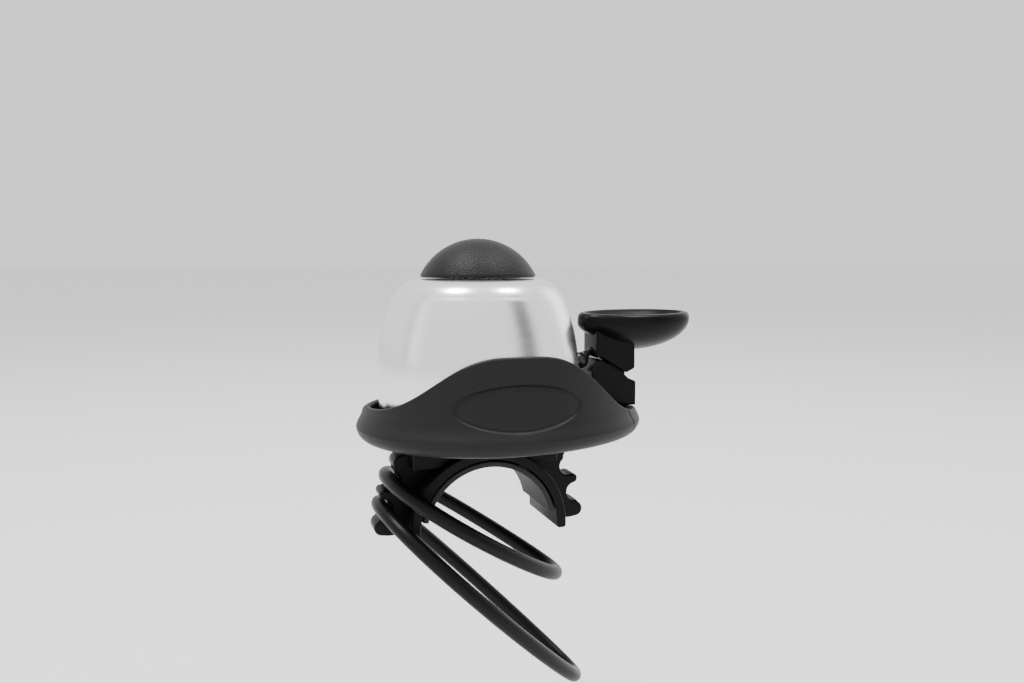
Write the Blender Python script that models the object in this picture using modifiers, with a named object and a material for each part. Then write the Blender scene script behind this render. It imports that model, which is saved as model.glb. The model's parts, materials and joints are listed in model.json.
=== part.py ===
"""Bicycle bell for a handlebar: dome, tray with a front shield, thumb lever, saddle and two rubber rings.

Metres, +Z up. The origin is the centre of the handlebar under the dome's axis. +Z is the dome's axis,
+X points to the thumb lever and Y runs along the handlebar.
"""
import math

import bmesh
import bpy
from mathutils import Matrix, Vector

MM = 0.001
GAP = 0.3 * MM                      # clearance kept between touching pieces

# Handlebar and saddle
BAR_RADIUS = 13.0 * MM
PAD_THICKNESS = 1.1 * MM
PAD_HALF_WIDTH = 8.5 * MM
PAD_END_ANGLE = math.radians(11.7)  # the pad stops this far above the horizontal
SADDLE_INNER = 14.4 * MM
SADDLE_OUTER = 16.4 * MM
SADDLE_HALF_WIDTH = 8.65 * MM
LEG_BOTTOM = -1.1 * MM
TABLE_TOP = 17.8 * MM
TABLE_HALF_LENGTH = 15.2 * MM
TABLE_HALF_WIDTH = 6.5 * MM
TOWER_HALF_WIDTH = 2.8 * MM

# Rubber rings and the hook seats that hold them
RING_SECTION = 1.5 * MM
RING_TAPER = 0.25                   # a hanging ring is wider at its hook than at its free end
SEAT_RADIUS = RING_SECTION + GAP + 0.15 * MM
UPPER_SEAT = (19.3 * MM, 10.4 * MM)
LOWER_SEAT = (20.9 * MM, 4.7 * MM)
UPPER_RING_SIZE = (21.5 * MM, 15.6 * MM)
LOWER_RING_SIZE = (29.7 * MM, 16.4 * MM)
UPPER_RING_DROP = math.radians(32.9)
LOWER_RING_DROP = math.radians(44.5)

# Tray: an egg-shaped lip tube, a floor, a rim and a front shield
EGG_CENTRE = 5.05 * MM
EGG_LENGTH = 27.5 * MM
EGG_WIDTH = 21.9 * MM
EGG_TAPER = 0.10
LIP_RADIUS = 2.7 * MM
LIP_HEIGHT = 20.8 * MM
FLOOR_BOTTOM = LIP_HEIGHT - LIP_RADIUS
FLOOR_TOP = 20.3 * MM
RIM_HEIGHT = 24.4 * MM
RIM_DROP = 1.4 * MM                 # the rim is this much lower at the lever end
WALL_THICKNESS = 1.3 * MM
SHIELD_RISE = 12.3 * MM
SHIELD_CENTRE = 2.0 * MM
SHIELD_HALF_WIDTH = 18.5 * MM
SHIELD_POWER = 3.3
POST_RADIUS = 5.0 * MM
POST_TOP = 44.5 * MM
POST_BORE = 3.3 * MM

# Dome and the pieces that hold it
DOME_RADIUS = 20.7 * MM
DOME_BOTTOM = 24.7 * MM
DOME_BELLY = 32.0 * MM
DOME_SHOULDER = 47.5 * MM
DOME_SHOULDER_RADIUS = 5.6 * MM
DOME_TOP = 50.5 * MM
DOME_WALL = 1.3 * MM
DOME_HOLE = 3.4 * MM
CAP_RADIUS = 12.3 * MM
CAP_BOTTOM = DOME_TOP + GAP
CAP_HEIGHT = 7.9 * MM

# Screws, washers, nut, bush and insert
M4_SHANK = 1.95 * MM
M4_BORE = 2.25 * MM
M4_CLEARANCE = 2.3 * MM
DOME_SCREW_END = 37.0 * MM
DOME_SCREW_SEAT = 51.8 * MM
DOME_SCREW_TOP = 54.6 * MM
DOME_WASHER_TOP = DOME_SCREW_SEAT - GAP
BUSH_SHOULDER = DOME_TOP - DOME_WALL - GAP
BUSH_BOTTOM = POST_TOP + GAP
INSERT_TOP = POST_TOP - GAP
INSERT_LENGTH = 9.8 * MM
SADDLE_SCREW_END = 14.8 * MM
SADDLE_WASHER_TOP = 21.2 * MM
SADDLE_SCREW_SEAT = SADDLE_WASHER_TOP + GAP
SADDLE_SCREW_TOP = 24.6 * MM
NUT_POCKET_TOP = 16.6 * MM
NUT_TOP = NUT_POCKET_TOP - 0.35 * MM
NUT_HEIGHT = 1.6 * MM
BRACKET_SCREW_SEAT = 19.6 * MM
BRACKET_SCREW_TOP = 24.8 * MM

# Lever, its bracket and its pin
PIVOT = (30.6 * MM, 28.0 * MM)
PIN_RADIUS = 0.9 * MM
PIN_HOLE = 1.2 * MM
LUG_RADIUS = 2.1 * MM
POST_HALF_WIDTH = 3.5 * MM
SEAT_HEIGHT = 22.6 * MM             # the bracket stands on the tray here
BRACKET_BOTTOM = SEAT_HEIGHT + GAP
BRACKET_INNER = 24.3 * MM
BRACKET_OUTER = 34.7 * MM
SLOT_INNER = 26.7 * MM
SLOT_OUTER = 33.0 * MM
SLOT_HALF_WIDTH = 2.5 * MM
SLOT_FLOOR = 25.6 * MM
BRACKET_SCREWS = (26.6 * MM, 30.8 * MM)
PADDLE_CENTRE = (35.8 * MM, 42.4 * MM)
PADDLE_HALF_LENGTH = 13.2 * MM
PADDLE_HALF_WIDTH = 6.8 * MM
PADDLE_KEEL = (34.5 * MM, 34.7 * MM)
PADDLE_CANT = math.radians(3.0)     # the thumb pad leans this much across its width
HAMMER_RADIUS = 1.8 * MM
HAMMER_CENTRE = (22.95 * MM, 32.8 * MM)


# ---------------------------------------------------------------- scene, materials and helpers

def clear_scene():
    """Remove every object and collection that the file opened with."""
    for thing in list(bpy.data.objects):
        bpy.data.objects.remove(thing, do_unlink=True)
    for collection in list(bpy.data.collections):
        bpy.data.collections.remove(collection)


def new_collection(name):
    collection = bpy.data.collections.new(name)
    bpy.context.scene.collection.children.link(collection)
    return collection


clear_scene()
BELL = new_collection("bicycle_bell")
CUTTERS = new_collection("cutters")


def finish(name, colour, roughness, metallic=0.0):
    material = bpy.data.materials.new(name)
    material.use_nodes = True
    shader = material.node_tree.nodes["Principled BSDF"]
    shader.inputs["Base Color"].default_value = (*colour, 1.0)
    shader.inputs["Roughness"].default_value = roughness
    shader.inputs["Metallic"].default_value = metallic
    material.diffuse_color = (*colour, 1.0)
    return material


def place(obj, collection=BELL, material=None):
    """Link an object and give it its finish."""
    for owner in list(obj.users_collection):
        owner.objects.unlink(obj)
    collection.objects.link(obj)
    if material is not None:
        obj.data.materials.clear()
        obj.data.materials.append(material)
    return obj


def as_cutter(obj):
    place(obj, CUTTERS)
    obj.hide_render = True
    obj.display_type = "WIRE"
    return obj


def boolean(target, tool, operation):
    """Add an exact Boolean of the tool, which becomes a hidden cutter."""
    as_cutter(tool)
    modifier = target.modifiers.new(f"{operation.lower()}_{tool.name}", "BOOLEAN")
    modifier.operation = operation
    modifier.object = tool
    return target


def soften(obj, width, segments=2, angle=35.0):
    """Round the edges that are sharper than the angle."""
    modifier = obj.modifiers.new("soften", "BEVEL")
    modifier.width = width
    modifier.segments = segments
    modifier.limit_method = "ANGLE"
    modifier.angle_limit = math.radians(angle)
    return obj


def smooth(obj, angle=35.0):
    obj.data.shade_smooth()
    obj.data.set_sharp_from_angle(angle=math.radians(angle))
    return obj


def mesh_object(name, build):
    """Make an object from a function that fills a bmesh."""
    mesh = bpy.data.meshes.new(name)
    work = bmesh.new()
    build(work)
    bmesh.ops.recalc_face_normals(work, faces=work.faces)
    work.to_mesh(mesh)
    work.free()
    return place(bpy.data.objects.new(name, mesh))


def cylinder(name, radius, low, high, axis="Z", centre=(0.0, 0.0), segments=32, top_radius=None):
    """A cylinder or cone from low to high along an axis, with its centre in the other two coordinates."""
    end = radius if top_radius is None else top_radius
    middle = (low + high) / 2
    turn = {"Z": Matrix.Identity(4), "Y": Matrix.Rotation(-math.pi / 2, 4, "X"),
            "X": Matrix.Rotation(math.pi / 2, 4, "Y")}[axis]
    spot = {"Z": (centre[0], centre[1], middle), "Y": (centre[0], middle, centre[1]),
            "X": (middle, centre[0], centre[1])}[axis]

    def build(work):
        bmesh.ops.create_cone(work, cap_ends=True, segments=segments, radius1=radius, radius2=end,
                              depth=high - low, matrix=Matrix.Translation(spot) @ turn)
    return smooth(mesh_object(name, build))


def block(name, low, high):
    """A box between two corners."""
    size = Vector(high) - Vector(low)
    middle = (Vector(high) + Vector(low)) / 2

    def build(work):
        scale = Matrix.Diagonal((*size, 1.0))
        bmesh.ops.create_cube(work, size=1.0, matrix=Matrix.Translation(middle) @ scale)
    return mesh_object(name, build)


def turned(name, profile, steps, closed=True):
    """Turn a profile of (radius, height) points about Z. A closed profile goes round clockwise."""
    area = sum(a[0] * b[1] - b[0] * a[1] for a, b in zip(profile, profile[1:] + profile[:1]))
    points = profile[::-1] if area > 0 else profile
    mesh = bpy.data.meshes.new(name)
    edges = [(i, i + 1) for i in range(len(points) - 1)]
    if closed:
        edges.append((len(points) - 1, 0))
    mesh.from_pydata([(radius, 0.0, height) for radius, height in points], edges, [])
    obj = place(bpy.data.objects.new(name, mesh))
    screw = obj.modifiers.new("turn", "SCREW")
    screw.steps = steps
    screw.render_steps = steps
    screw.use_merge_vertices = True
    screw.merge_threshold = 0.00001
    screw.use_smooth_shade = True
    return obj


def curve_to_mesh(name, curve_object):
    """Replace a curve object by a welded mesh object with its place in the mesh."""
    bpy.context.view_layer.update()
    evaluated = curve_object.evaluated_get(bpy.context.evaluated_depsgraph_get())
    mesh = bpy.data.meshes.new_from_object(evaluated)
    mesh.transform(curve_object.matrix_world)
    curve = curve_object.data
    bpy.data.objects.remove(curve_object, do_unlink=True)
    bpy.data.curves.remove(curve)
    work = bmesh.new()
    work.from_mesh(mesh)
    bmesh.ops.remove_doubles(work, verts=work.verts, dist=0.000002)
    bmesh.ops.dissolve_limit(work, angle_limit=0.01, verts=work.verts, edges=work.edges)
    bmesh.ops.recalc_face_normals(work, faces=work.faces)
    work.to_mesh(mesh)
    work.free()
    mesh.name = name
    return place(bpy.data.objects.new(name, mesh))


def plate(name, outline, low, high):
    """Stand a flat outline of (x, z) points up in the XZ plane, with its thickness from low to high in Y."""
    curve = bpy.data.curves.new(name, "CURVE")
    curve.dimensions = "2D"
    curve.fill_mode = "BOTH"
    curve.extrude = (high - low) / 2
    spline = curve.splines.new("POLY")
    spline.points.add(len(outline) - 1)
    for point, (x, z) in zip(spline.points, outline):
        point.co = (x, z, 0.0, 1.0)
    spline.use_cyclic_u = True
    obj = bpy.data.objects.new(name, curve)
    obj.rotation_euler = (math.pi / 2, 0.0, 0.0)
    obj.location = (0.0, (low + high) / 2, 0.0)
    bpy.context.scene.collection.objects.link(obj)
    return curve_to_mesh(name, obj)


def arc(centre, radius, start, end, count):
    """Points on an arc, angles in degrees, both ends included."""
    angles = [math.radians(start + (end - start) * i / (count - 1)) for i in range(count)]
    return [(centre[0] + radius * math.cos(a), centre[1] + radius * math.sin(a)) for a in angles]


def hexagon(name, corner_radius, low, high):
    return cylinder(name, corner_radius, low, high, segments=6)


def pivot_empty(name, spot):
    """An empty on a joint's axis, which the moving pieces are parented to."""
    empty = bpy.data.objects.new(name, None)
    empty.location = spot
    empty.empty_display_size = 5 * MM
    BELL.objects.link(empty)
    return empty


def hang_on(empty, pieces):
    """Parent pieces to an empty and keep them where they are."""
    bpy.context.view_layer.update()
    for piece in pieces:
        piece.parent = empty
        piece.matrix_parent_inverse = empty.matrix_world.inverted()


ALUMINIUM = finish("satin_aluminium", (0.82, 0.82, 0.83), 0.25, 1.0)
STEEL = finish("zinc_plated_steel", (0.60, 0.60, 0.62), 0.35, 1.0)
BRASS = finish("brass", (0.72, 0.53, 0.24), 0.35, 1.0)
CAP_PLASTIC = finish("grained_black_plastic", (0.030, 0.030, 0.032), 0.55)
TRAY_PLASTIC = finish("satin_charcoal_plastic", (0.040, 0.040, 0.042), 0.45)
LEVER_PLASTIC = finish("smooth_black_plastic", (0.022, 0.022, 0.023), 0.35)
SADDLE_PLASTIC = finish("saddle_black_plastic", (0.020, 0.020, 0.021), 0.5)
PAD_RUBBER = finish("grey_rubber", (0.11, 0.11, 0.11), 0.7)
RING_RUBBER = finish("black_rubber", (0.018, 0.018, 0.018), 0.5)
NYLON = finish("natural_nylon", (0.75, 0.73, 0.66), 0.5)
BLACK_STEEL = finish("black_oxide_steel", (0.030, 0.030, 0.032), 0.3, 1.0)


# ---------------------------------------------------------------- dome group

def dome_outline():
    """Outer profile of the dome from the hole's edge to the mouth."""
    flank_drop = 2.7 * MM
    flank_run = 13.6 * MM

    def flank(height):
        return DOME_RADIUS - flank_drop * ((height - DOME_BELLY) / flank_run) ** 2

    slope = 2 * flank_drop * (DOME_SHOULDER - DOME_BELLY) / flank_run ** 2
    start = math.degrees(math.atan(slope))
    centre = (flank(DOME_SHOULDER) - DOME_SHOULDER_RADIUS * math.cos(math.radians(start)),
              DOME_TOP - DOME_SHOULDER_RADIUS)
    shoulder = arc(centre, DOME_SHOULDER_RADIUS, 90.0, start, 7)
    shoulder_end = shoulder[-1][1]
    heights = [shoulder_end - (shoulder_end - DOME_BELLY) * i / 5 for i in range(1, 6)]
    sides = [(flank(height), height) for height in heights]
    mouth = [(DOME_RADIUS - 0.1 * MM, 28.0 * MM), (DOME_RADIUS - 0.2 * MM, DOME_BOTTOM + 0.3 * MM),
             (DOME_RADIUS - 0.45 * MM, DOME_BOTTOM)]
    return [(DOME_HOLE, DOME_TOP)] + shoulder + sides + mouth


def make_dome():
    outer = dome_outline()
    inner = [(DOME_RADIUS - 0.2 * MM - DOME_WALL, DOME_BOTTOM)]
    inner += [(radius - DOME_WALL, height) for radius, height in outer[8:-2]][::-1]
    inner += [(radius - DOME_WALL * 0.72, height - DOME_WALL * 0.72) for radius, height in outer[4:5]]
    inner += [(outer[1][0] - 0.6 * MM, DOME_TOP - DOME_WALL), (DOME_HOLE, DOME_TOP - DOME_WALL)]
    dome = turned("dome", outer + inner, 56)
    return place(dome, material=ALUMINIUM)


def make_cap():
    sphere = (CAP_RADIUS ** 2 + CAP_HEIGHT ** 2) / (2 * CAP_HEIGHT)
    centre = CAP_BOTTOM + CAP_HEIGHT - sphere
    edge = math.degrees(math.asin((CAP_BOTTOM + 0.5 * MM - centre) / sphere))
    crown = arc((0.0, centre), sphere, 90.0, edge, 9)
    crown[0] = (0.0, crown[0][1])
    recess_top = CAP_BOTTOM + 2.4 * MM
    pocket_top = 55.0 * MM
    profile = crown + [(CAP_RADIUS - 0.3 * MM, CAP_BOTTOM), (CAP_RADIUS - 1.6 * MM, CAP_BOTTOM),
                       (CAP_RADIUS - 3.0 * MM, recess_top), (5.6 * MM, recess_top),
                       (5.4 * MM, recess_top - 0.6 * MM), (5.2 * MM, 52.0 * MM), (0.0, 52.0 * MM)]
    cap = turned("dome_cap", profile, 48, closed=False)
    boolean(cap, hexagon("cap_pocket", 4.0 * MM, 51.0 * MM, pocket_top), "DIFFERENCE")
    return place(cap, material=CAP_PLASTIC)


def ring_profile(inner, outer, low, high, edge=0.0):
    """Section of a washer or bush, with its outer corners broken."""
    return [(inner, high), (outer - edge, high), (outer, high - edge),
            (outer, low + edge), (outer - edge, low), (inner, low)]


def make_dome_fixings():
    screw = cylinder("dome_screw", M4_SHANK, DOME_SCREW_END, DOME_SCREW_SEAT + 0.4 * MM, segments=20)
    soften(screw, 0.3 * MM, 1, 60.0)
    boolean(screw, hexagon("screw_head_blank", 3.6 * MM, DOME_SCREW_SEAT, DOME_SCREW_TOP), "UNION")
    place(screw, material=STEEL)
    section = ring_profile(M4_BORE, 4.8 * MM, DOME_TOP + GAP, DOME_WASHER_TOP, 0.1 * MM)
    washer = turned("dome_washer", section, 28)
    place(washer, material=STEEL)
    neck, flange = DOME_HOLE - GAP, 4.7 * MM
    bush_top = DOME_TOP - 0.1 * MM
    bush = turned("dome_bush", [(M4_BORE, bush_top), (neck, bush_top), (neck, BUSH_SHOULDER),
                                (flange, BUSH_SHOULDER), (flange, BUSH_BOTTOM), (M4_BORE, BUSH_BOTTOM)], 28)
    place(bush, material=NYLON)
    outer, groove = POST_BORE - GAP, POST_BORE - 2 * GAP
    waist = INSERT_TOP - INSERT_LENGTH / 2
    low = INSERT_TOP - INSERT_LENGTH
    insert = turned("post_insert", [(M4_BORE, INSERT_TOP), (outer, INSERT_TOP), (outer, waist + 0.9 * MM),
                                    (groove, waist + 0.6 * MM), (groove, waist - 0.6 * MM),
                                    (outer, waist - 0.9 * MM), (outer, low), (M4_BORE, low)], 28)
    place(insert, material=BRASS)


# ---------------------------------------------------------------- tray

def egg(offset, angle):
    """A point on the tray's plan outline, moved outwards by offset."""
    return (EGG_CENTRE + (EGG_LENGTH + offset) * math.cos(angle),
            (EGG_WIDTH + offset) * math.sin(angle) * (1 - EGG_TAPER * math.cos(angle)))


def wall_height(angle):
    """Top of the tray's wall: a level rim all round, and the bell-curve shield on the front."""
    x, y = egg(0.0, angle)
    fall = min(max((x - 16 * MM) / (16 * MM), 0.0), 1.0)
    rim = RIM_HEIGHT - RIM_DROP * fall * fall * (3 - 2 * fall)
    if y > 0:
        return rim
    return rim + SHIELD_RISE * math.exp(-(abs(x - SHIELD_CENTRE) / SHIELD_HALF_WIDTH) ** SHIELD_POWER)


def wall_outside(height):
    """Offset of the wall's outer face: it leans in as it rises and swells out to the lip."""
    rise = height - LIP_HEIGHT
    return 1.6 * MM - 0.07 * rise + 1.1 * MM * math.exp(-(rise / (2.0 * MM)) ** 2)


def wall_inside(height):
    return 1.6 * MM - 0.07 * (height - LIP_HEIGHT) - WALL_THICKNESS


def tray_section(angle):
    """The tray's section at an angle, as (offset, height) from the floor's underside round to its top."""
    top = wall_height(angle)
    shoulder = top - 0.45 * MM
    section = [(-5.0 * MM, FLOOR_BOTTOM)]
    section += [(LIP_RADIUS * math.cos(a), LIP_HEIGHT + LIP_RADIUS * math.sin(a))
                for a in [math.radians(-90 + 18 * i) for i in range(6)]]
    section += [(wall_outside(h), h) for h in [LIP_HEIGHT + (shoulder - LIP_HEIGHT) * f
                                               for f in (0.12, 0.25, 0.4, 0.6, 0.8, 1.0)]]
    outer, inner = wall_outside(shoulder), wall_inside(shoulder)
    middle = (outer + inner) / 2
    section += [(middle + 0.35 * MM, top - 0.1 * MM), (middle - 0.35 * MM, top - 0.1 * MM)]
    foot = FLOOR_TOP + 0.6 * MM
    section += [(wall_inside(h), h) for h in [foot + (shoulder - foot) * f for f in (1.0, 0.66, 0.33, 0.0)]]
    section += [(wall_inside(foot) - 0.6 * MM, FLOOR_TOP), (-8.0 * MM, FLOOR_TOP)]
    return section


def tray_shell(work):
    """Loft the tray from its sections, closed by a pole under the floor and one on it."""
    steps = 72
    rings = []
    for i in range(steps):
        angle = 2 * math.pi * i / steps
        section = tray_section(angle)
        rings.append([work.verts.new((*egg(offset, angle), height)) for offset, height in section])
    under = work.verts.new((EGG_CENTRE, 0.0, FLOOR_BOTTOM))
    over = work.verts.new((EGG_CENTRE, 0.0, FLOOR_TOP))
    for ring, after in zip(rings, rings[1:] + rings[:1]):
        work.faces.new((under, after[0], ring[0]))
        work.faces.new((over, ring[-1], after[-1]))
        for j in range(len(ring) - 1):
            work.faces.new((ring[j], after[j], after[j + 1], ring[j + 1]))


def make_base():
    base = smooth(mesh_object("base", tray_shell), 50.0)
    boolean(base, cylinder("centre_post", POST_RADIUS, FLOOR_TOP - 1.0 * MM, POST_TOP, segments=28,
                           top_radius=POST_RADIUS - 0.3 * MM), "UNION")
    boolean(base, block("bracket_pedestal", (BRACKET_INNER, -POST_HALF_WIDTH, FLOOR_TOP - 1.0 * MM),
                        (32.0 * MM, POST_HALF_WIDTH, SEAT_HEIGHT)), "UNION")
    seat_half_width = POST_HALF_WIDTH + GAP
    boolean(base, block("bracket_seat", (BRACKET_INNER - GAP, -seat_half_width, SEAT_HEIGHT),
                        (BRACKET_OUTER + 1.0 * MM, seat_half_width, 30.0 * MM)), "DIFFERENCE")
    boolean(base, cylinder("post_bore", POST_BORE, FLOOR_TOP, POST_TOP + 1.0 * MM, segments=28), "DIFFERENCE")
    boolean(base, cylinder("floor_hole", M4_CLEARANCE, FLOOR_BOTTOM - 1.0 * MM, FLOOR_TOP + 1.0 * MM,
                           segments=20), "DIFFERENCE")
    for i, x in enumerate(BRACKET_SCREWS):
        boolean(base, cylinder(f"screw_hole_{i}", 1.25 * MM, 19.0 * MM, 24.0 * MM, centre=(x, 0.0),
                               segments=16), "DIFFERENCE")
        boolean(base, cylinder(f"screw_bore_{i}", 2.0 * MM, 17.0 * MM, BRACKET_SCREW_SEAT + GAP,
                               centre=(x, 0.0), segments=20), "DIFFERENCE")
    return place(base, material=TRAY_PLASTIC)


# ---------------------------------------------------------------- saddle, its pad and its fastening

def make_saddle():
    half_turn = arc((0.0, 0.0), SADDLE_INNER, 0.0, 180.0, 25)
    outer_turn = arc((0.0, 0.0), SADDLE_OUTER, 180.0, 0.0, 25)
    outline = [(SADDLE_INNER, LEG_BOTTOM + 0.4 * MM)] + half_turn + [(-SADDLE_INNER, LEG_BOTTOM + 0.4 * MM),
               (-SADDLE_INNER - 0.5 * MM, LEG_BOTTOM), (-SADDLE_OUTER + 0.5 * MM, LEG_BOTTOM),
               (-SADDLE_OUTER, LEG_BOTTOM + 0.4 * MM)] + outer_turn
    outline += [(SADDLE_OUTER, LEG_BOTTOM + 0.4 * MM), (SADDLE_OUTER - 0.5 * MM, LEG_BOTTOM),
                (SADDLE_INNER + 0.5 * MM, LEG_BOTTOM)]
    saddle = plate("saddle", outline, -SADDLE_HALF_WIDTH, SADDLE_HALF_WIDTH)
    table_line = 12.8 * MM
    crown = arc((0.0, 0.0), SADDLE_INNER + 0.6 * MM, 121.0, 59.0, 9)
    table = [(-TABLE_HALF_LENGTH, table_line)] + crown
    table += [(TABLE_HALF_LENGTH, table_line), (TABLE_HALF_LENGTH, TABLE_TOP)]
    table += [(-TABLE_HALF_LENGTH, TABLE_TOP)]
    boolean(saddle, plate("table", table, -TABLE_HALF_WIDTH, TABLE_HALF_WIDTH), "UNION")
    for side, word in ((1, "lever"), (-1, "far")):
        boolean(saddle, make_tower(f"hooks_{word}", side), "UNION")
    boolean(saddle, hexagon("nut_pocket", 4.1 * MM, 12.0 * MM, NUT_POCKET_TOP), "DIFFERENCE")
    boolean(saddle, cylinder("saddle_hole", M4_CLEARANCE, 12.0 * MM, TABLE_TOP + 1.0 * MM, segments=20),
            "DIFFERENCE")
    return place(saddle, material=SADDLE_PLASTIC)


def make_tower(name, side):
    """The tower of three hooks on a leg: rounded tips with two round seats for the rings between them."""
    inner = SADDLE_INNER + 0.6 * MM
    upper_tip, middle_tip, lower_tip = (16.9 * MM, 13.7 * MM), (20.35 * MM, 7.6 * MM), (20.9 * MM, 0.85 * MM)
    tips = [(inner, 16.2 * MM)]
    tips += arc(upper_tip, 1.6 * MM, 80.0, -35.0, 6)
    tips += arc(UPPER_SEAT, SEAT_RADIUS, 128.0, 292.0, 9)
    tips += arc(middle_tip, 1.0 * MM, 62.0, -62.0, 6)
    tips += arc(LOWER_SEAT, SEAT_RADIUS, 100.0, 280.0, 9)
    tips += arc(lower_tip, 1.6 * MM, 62.0, -60.0, 7)
    tips += [(19.6 * MM, LEG_BOTTOM), (inner, LEG_BOTTOM + 0.2 * MM)]
    tips += arc((0.0, 0.0), inner, 0.0, 57.0, 9)
    outline = [(side * x, z) for x, z in tips]
    return plate(name, outline, -TOWER_HALF_WIDTH, TOWER_HALF_WIDTH)


def make_saddle_fittings():
    end = math.degrees(PAD_END_ANGLE)
    outline = arc((0.0, 0.0), BAR_RADIUS, end, 180.0 - end, 23)
    outline += arc((0.0, 0.0), BAR_RADIUS + PAD_THICKNESS, 180.0 - end, end, 23)
    pad = plate("saddle_pad", outline, -PAD_HALF_WIDTH, PAD_HALF_WIDTH)
    place(pad, material=PAD_RUBBER)

    screw = cylinder("saddle_screw", M4_SHANK, SADDLE_SCREW_END, SADDLE_SCREW_SEAT + 0.5 * MM, segments=20)
    head, top = SADDLE_SCREW_SEAT, SADDLE_SCREW_TOP
    boolean(screw, cylinder("cap_head_blank", 2.9 * MM, head, top, segments=24), "UNION")
    boolean(screw, hexagon("key_socket", 1.7 * MM, top - 1.6 * MM, top + 0.4 * MM), "DIFFERENCE")
    place(screw, material=STEEL)
    section = ring_profile(M4_BORE, 3.0 * MM, FLOOR_TOP + GAP, SADDLE_WASHER_TOP, 0.1 * MM)
    washer = turned("saddle_washer", section, 24)
    place(washer, material=STEEL)
    nut = hexagon("saddle_nut", 3.7 * MM, NUT_TOP - NUT_HEIGHT, NUT_TOP)
    boolean(nut, cylinder("nut_bore", M4_BORE, 13.0 * MM, 18.0 * MM, segments=20), "DIFFERENCE")
    place(nut, material=STEEL)


# ---------------------------------------------------------------- lever group

def make_bracket():
    outline = [(BRACKET_INNER, BRACKET_BOTTOM), (BRACKET_INNER, 30.7 * MM), (26.3 * MM, 33.3 * MM),
               (31.5 * MM, 30.2 * MM), (32.9 * MM, 28.9 * MM), (BRACKET_OUTER, 28.1 * MM),
               (BRACKET_OUTER, BRACKET_BOTTOM)]
    bracket = plate("lever_bracket", outline, -POST_HALF_WIDTH, POST_HALF_WIDTH)
    soften(bracket, 0.35 * MM, 2)
    boolean(bracket, block("lug_slot", (SLOT_INNER, -SLOT_HALF_WIDTH, SLOT_FLOOR),
                           (SLOT_OUTER, SLOT_HALF_WIDTH, 40.0 * MM)), "DIFFERENCE")
    boolean(bracket, cylinder("pin_hole", PIN_HOLE, -3.1 * MM, 4.0 * MM, "Y", PIVOT, 20), "DIFFERENCE")
    for i, x in enumerate(BRACKET_SCREWS):
        boolean(bracket, cylinder(f"thread_hole_{i}", 1.2 * MM, 20.0 * MM, BRACKET_SCREW_TOP + GAP,
                                  centre=(x, 0.0), segments=16), "DIFFERENCE")
    place(bracket, material=LEVER_PLASTIC)
    for i, (x, word) in enumerate(zip(BRACKET_SCREWS, ("inner", "outer"))):
        screw = cylinder(f"bracket_screw_{word}", 0.9 * MM, 19.0 * MM, BRACKET_SCREW_TOP, centre=(x, 0.0),
                         segments=16)
        boolean(screw, cylinder(f"pan_head_{i}", 1.7 * MM, BRACKET_SCREW_SEAT - 1.4 * MM, BRACKET_SCREW_SEAT,
                                centre=(x, 0.0), segments=20), "UNION")
        place(screw, material=STEEL)


def paddle_shell(work):
    """The thumb paddle: a boat hull below a rounded rim and a shallow thumb cup inside it."""
    around, levels = 32, 7
    rim_x, rim_z = PADDLE_CENTRE
    keel_x, keel_z = PADDLE_KEEL
    rings = []

    def oval(angle, shrink):
        return (rim_x + (PADDLE_HALF_LENGTH - shrink) * math.cos(angle),
                (PADDLE_HALF_WIDTH - shrink) * math.sin(angle))

    for level in range(1, levels + 1):
        part = math.sin(math.pi / 2 * level / levels)
        ring = []
        for i in range(around):
            angle = 2 * math.pi * i / around
            x, y = oval(angle, 0.0)
            straight = 0.65 * (1 - math.cos(angle)) / 2
            rise = (1 - straight) * (1 - math.cos(math.pi / 2 * level / levels)) + straight * part
            ring.append((keel_x + (x - keel_x) * part, y * part, keel_z + (rim_z - 0.6 * MM - keel_z) * rise))
        rings.append(ring)
    cup = ((0.25, 0.45), (0.8, 0.6), (1.4, 0.35), (3.0, -0.9), (5.4, -1.7))
    for shrink, height in cup:
        rings.append([(*oval(2 * math.pi * i / around, shrink * MM), rim_z - 0.6 * MM + height * MM)
                      for i in range(around)])
    lean = Matrix.Rotation(PADDLE_CANT, 4, "X")
    pivot = Vector((rim_x, 0.0, rim_z))

    def vertex(point):
        return work.verts.new(pivot + lean @ (Vector(point) - pivot))

    keel = vertex((keel_x, 0.0, keel_z))
    cup_floor = vertex((rim_x, 0.0, rim_z - 2.5 * MM))
    loops = [[vertex(point) for point in ring] for ring in rings]
    for i in range(around):
        k = (i + 1) % around
        work.faces.new((keel, loops[0][k], loops[0][i]))
        work.faces.new((cup_floor, loops[-1][i], loops[-1][k]))
        for low, high in zip(loops, loops[1:]):
            work.faces.new((low[i], low[k], high[k], high[i]))


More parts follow.
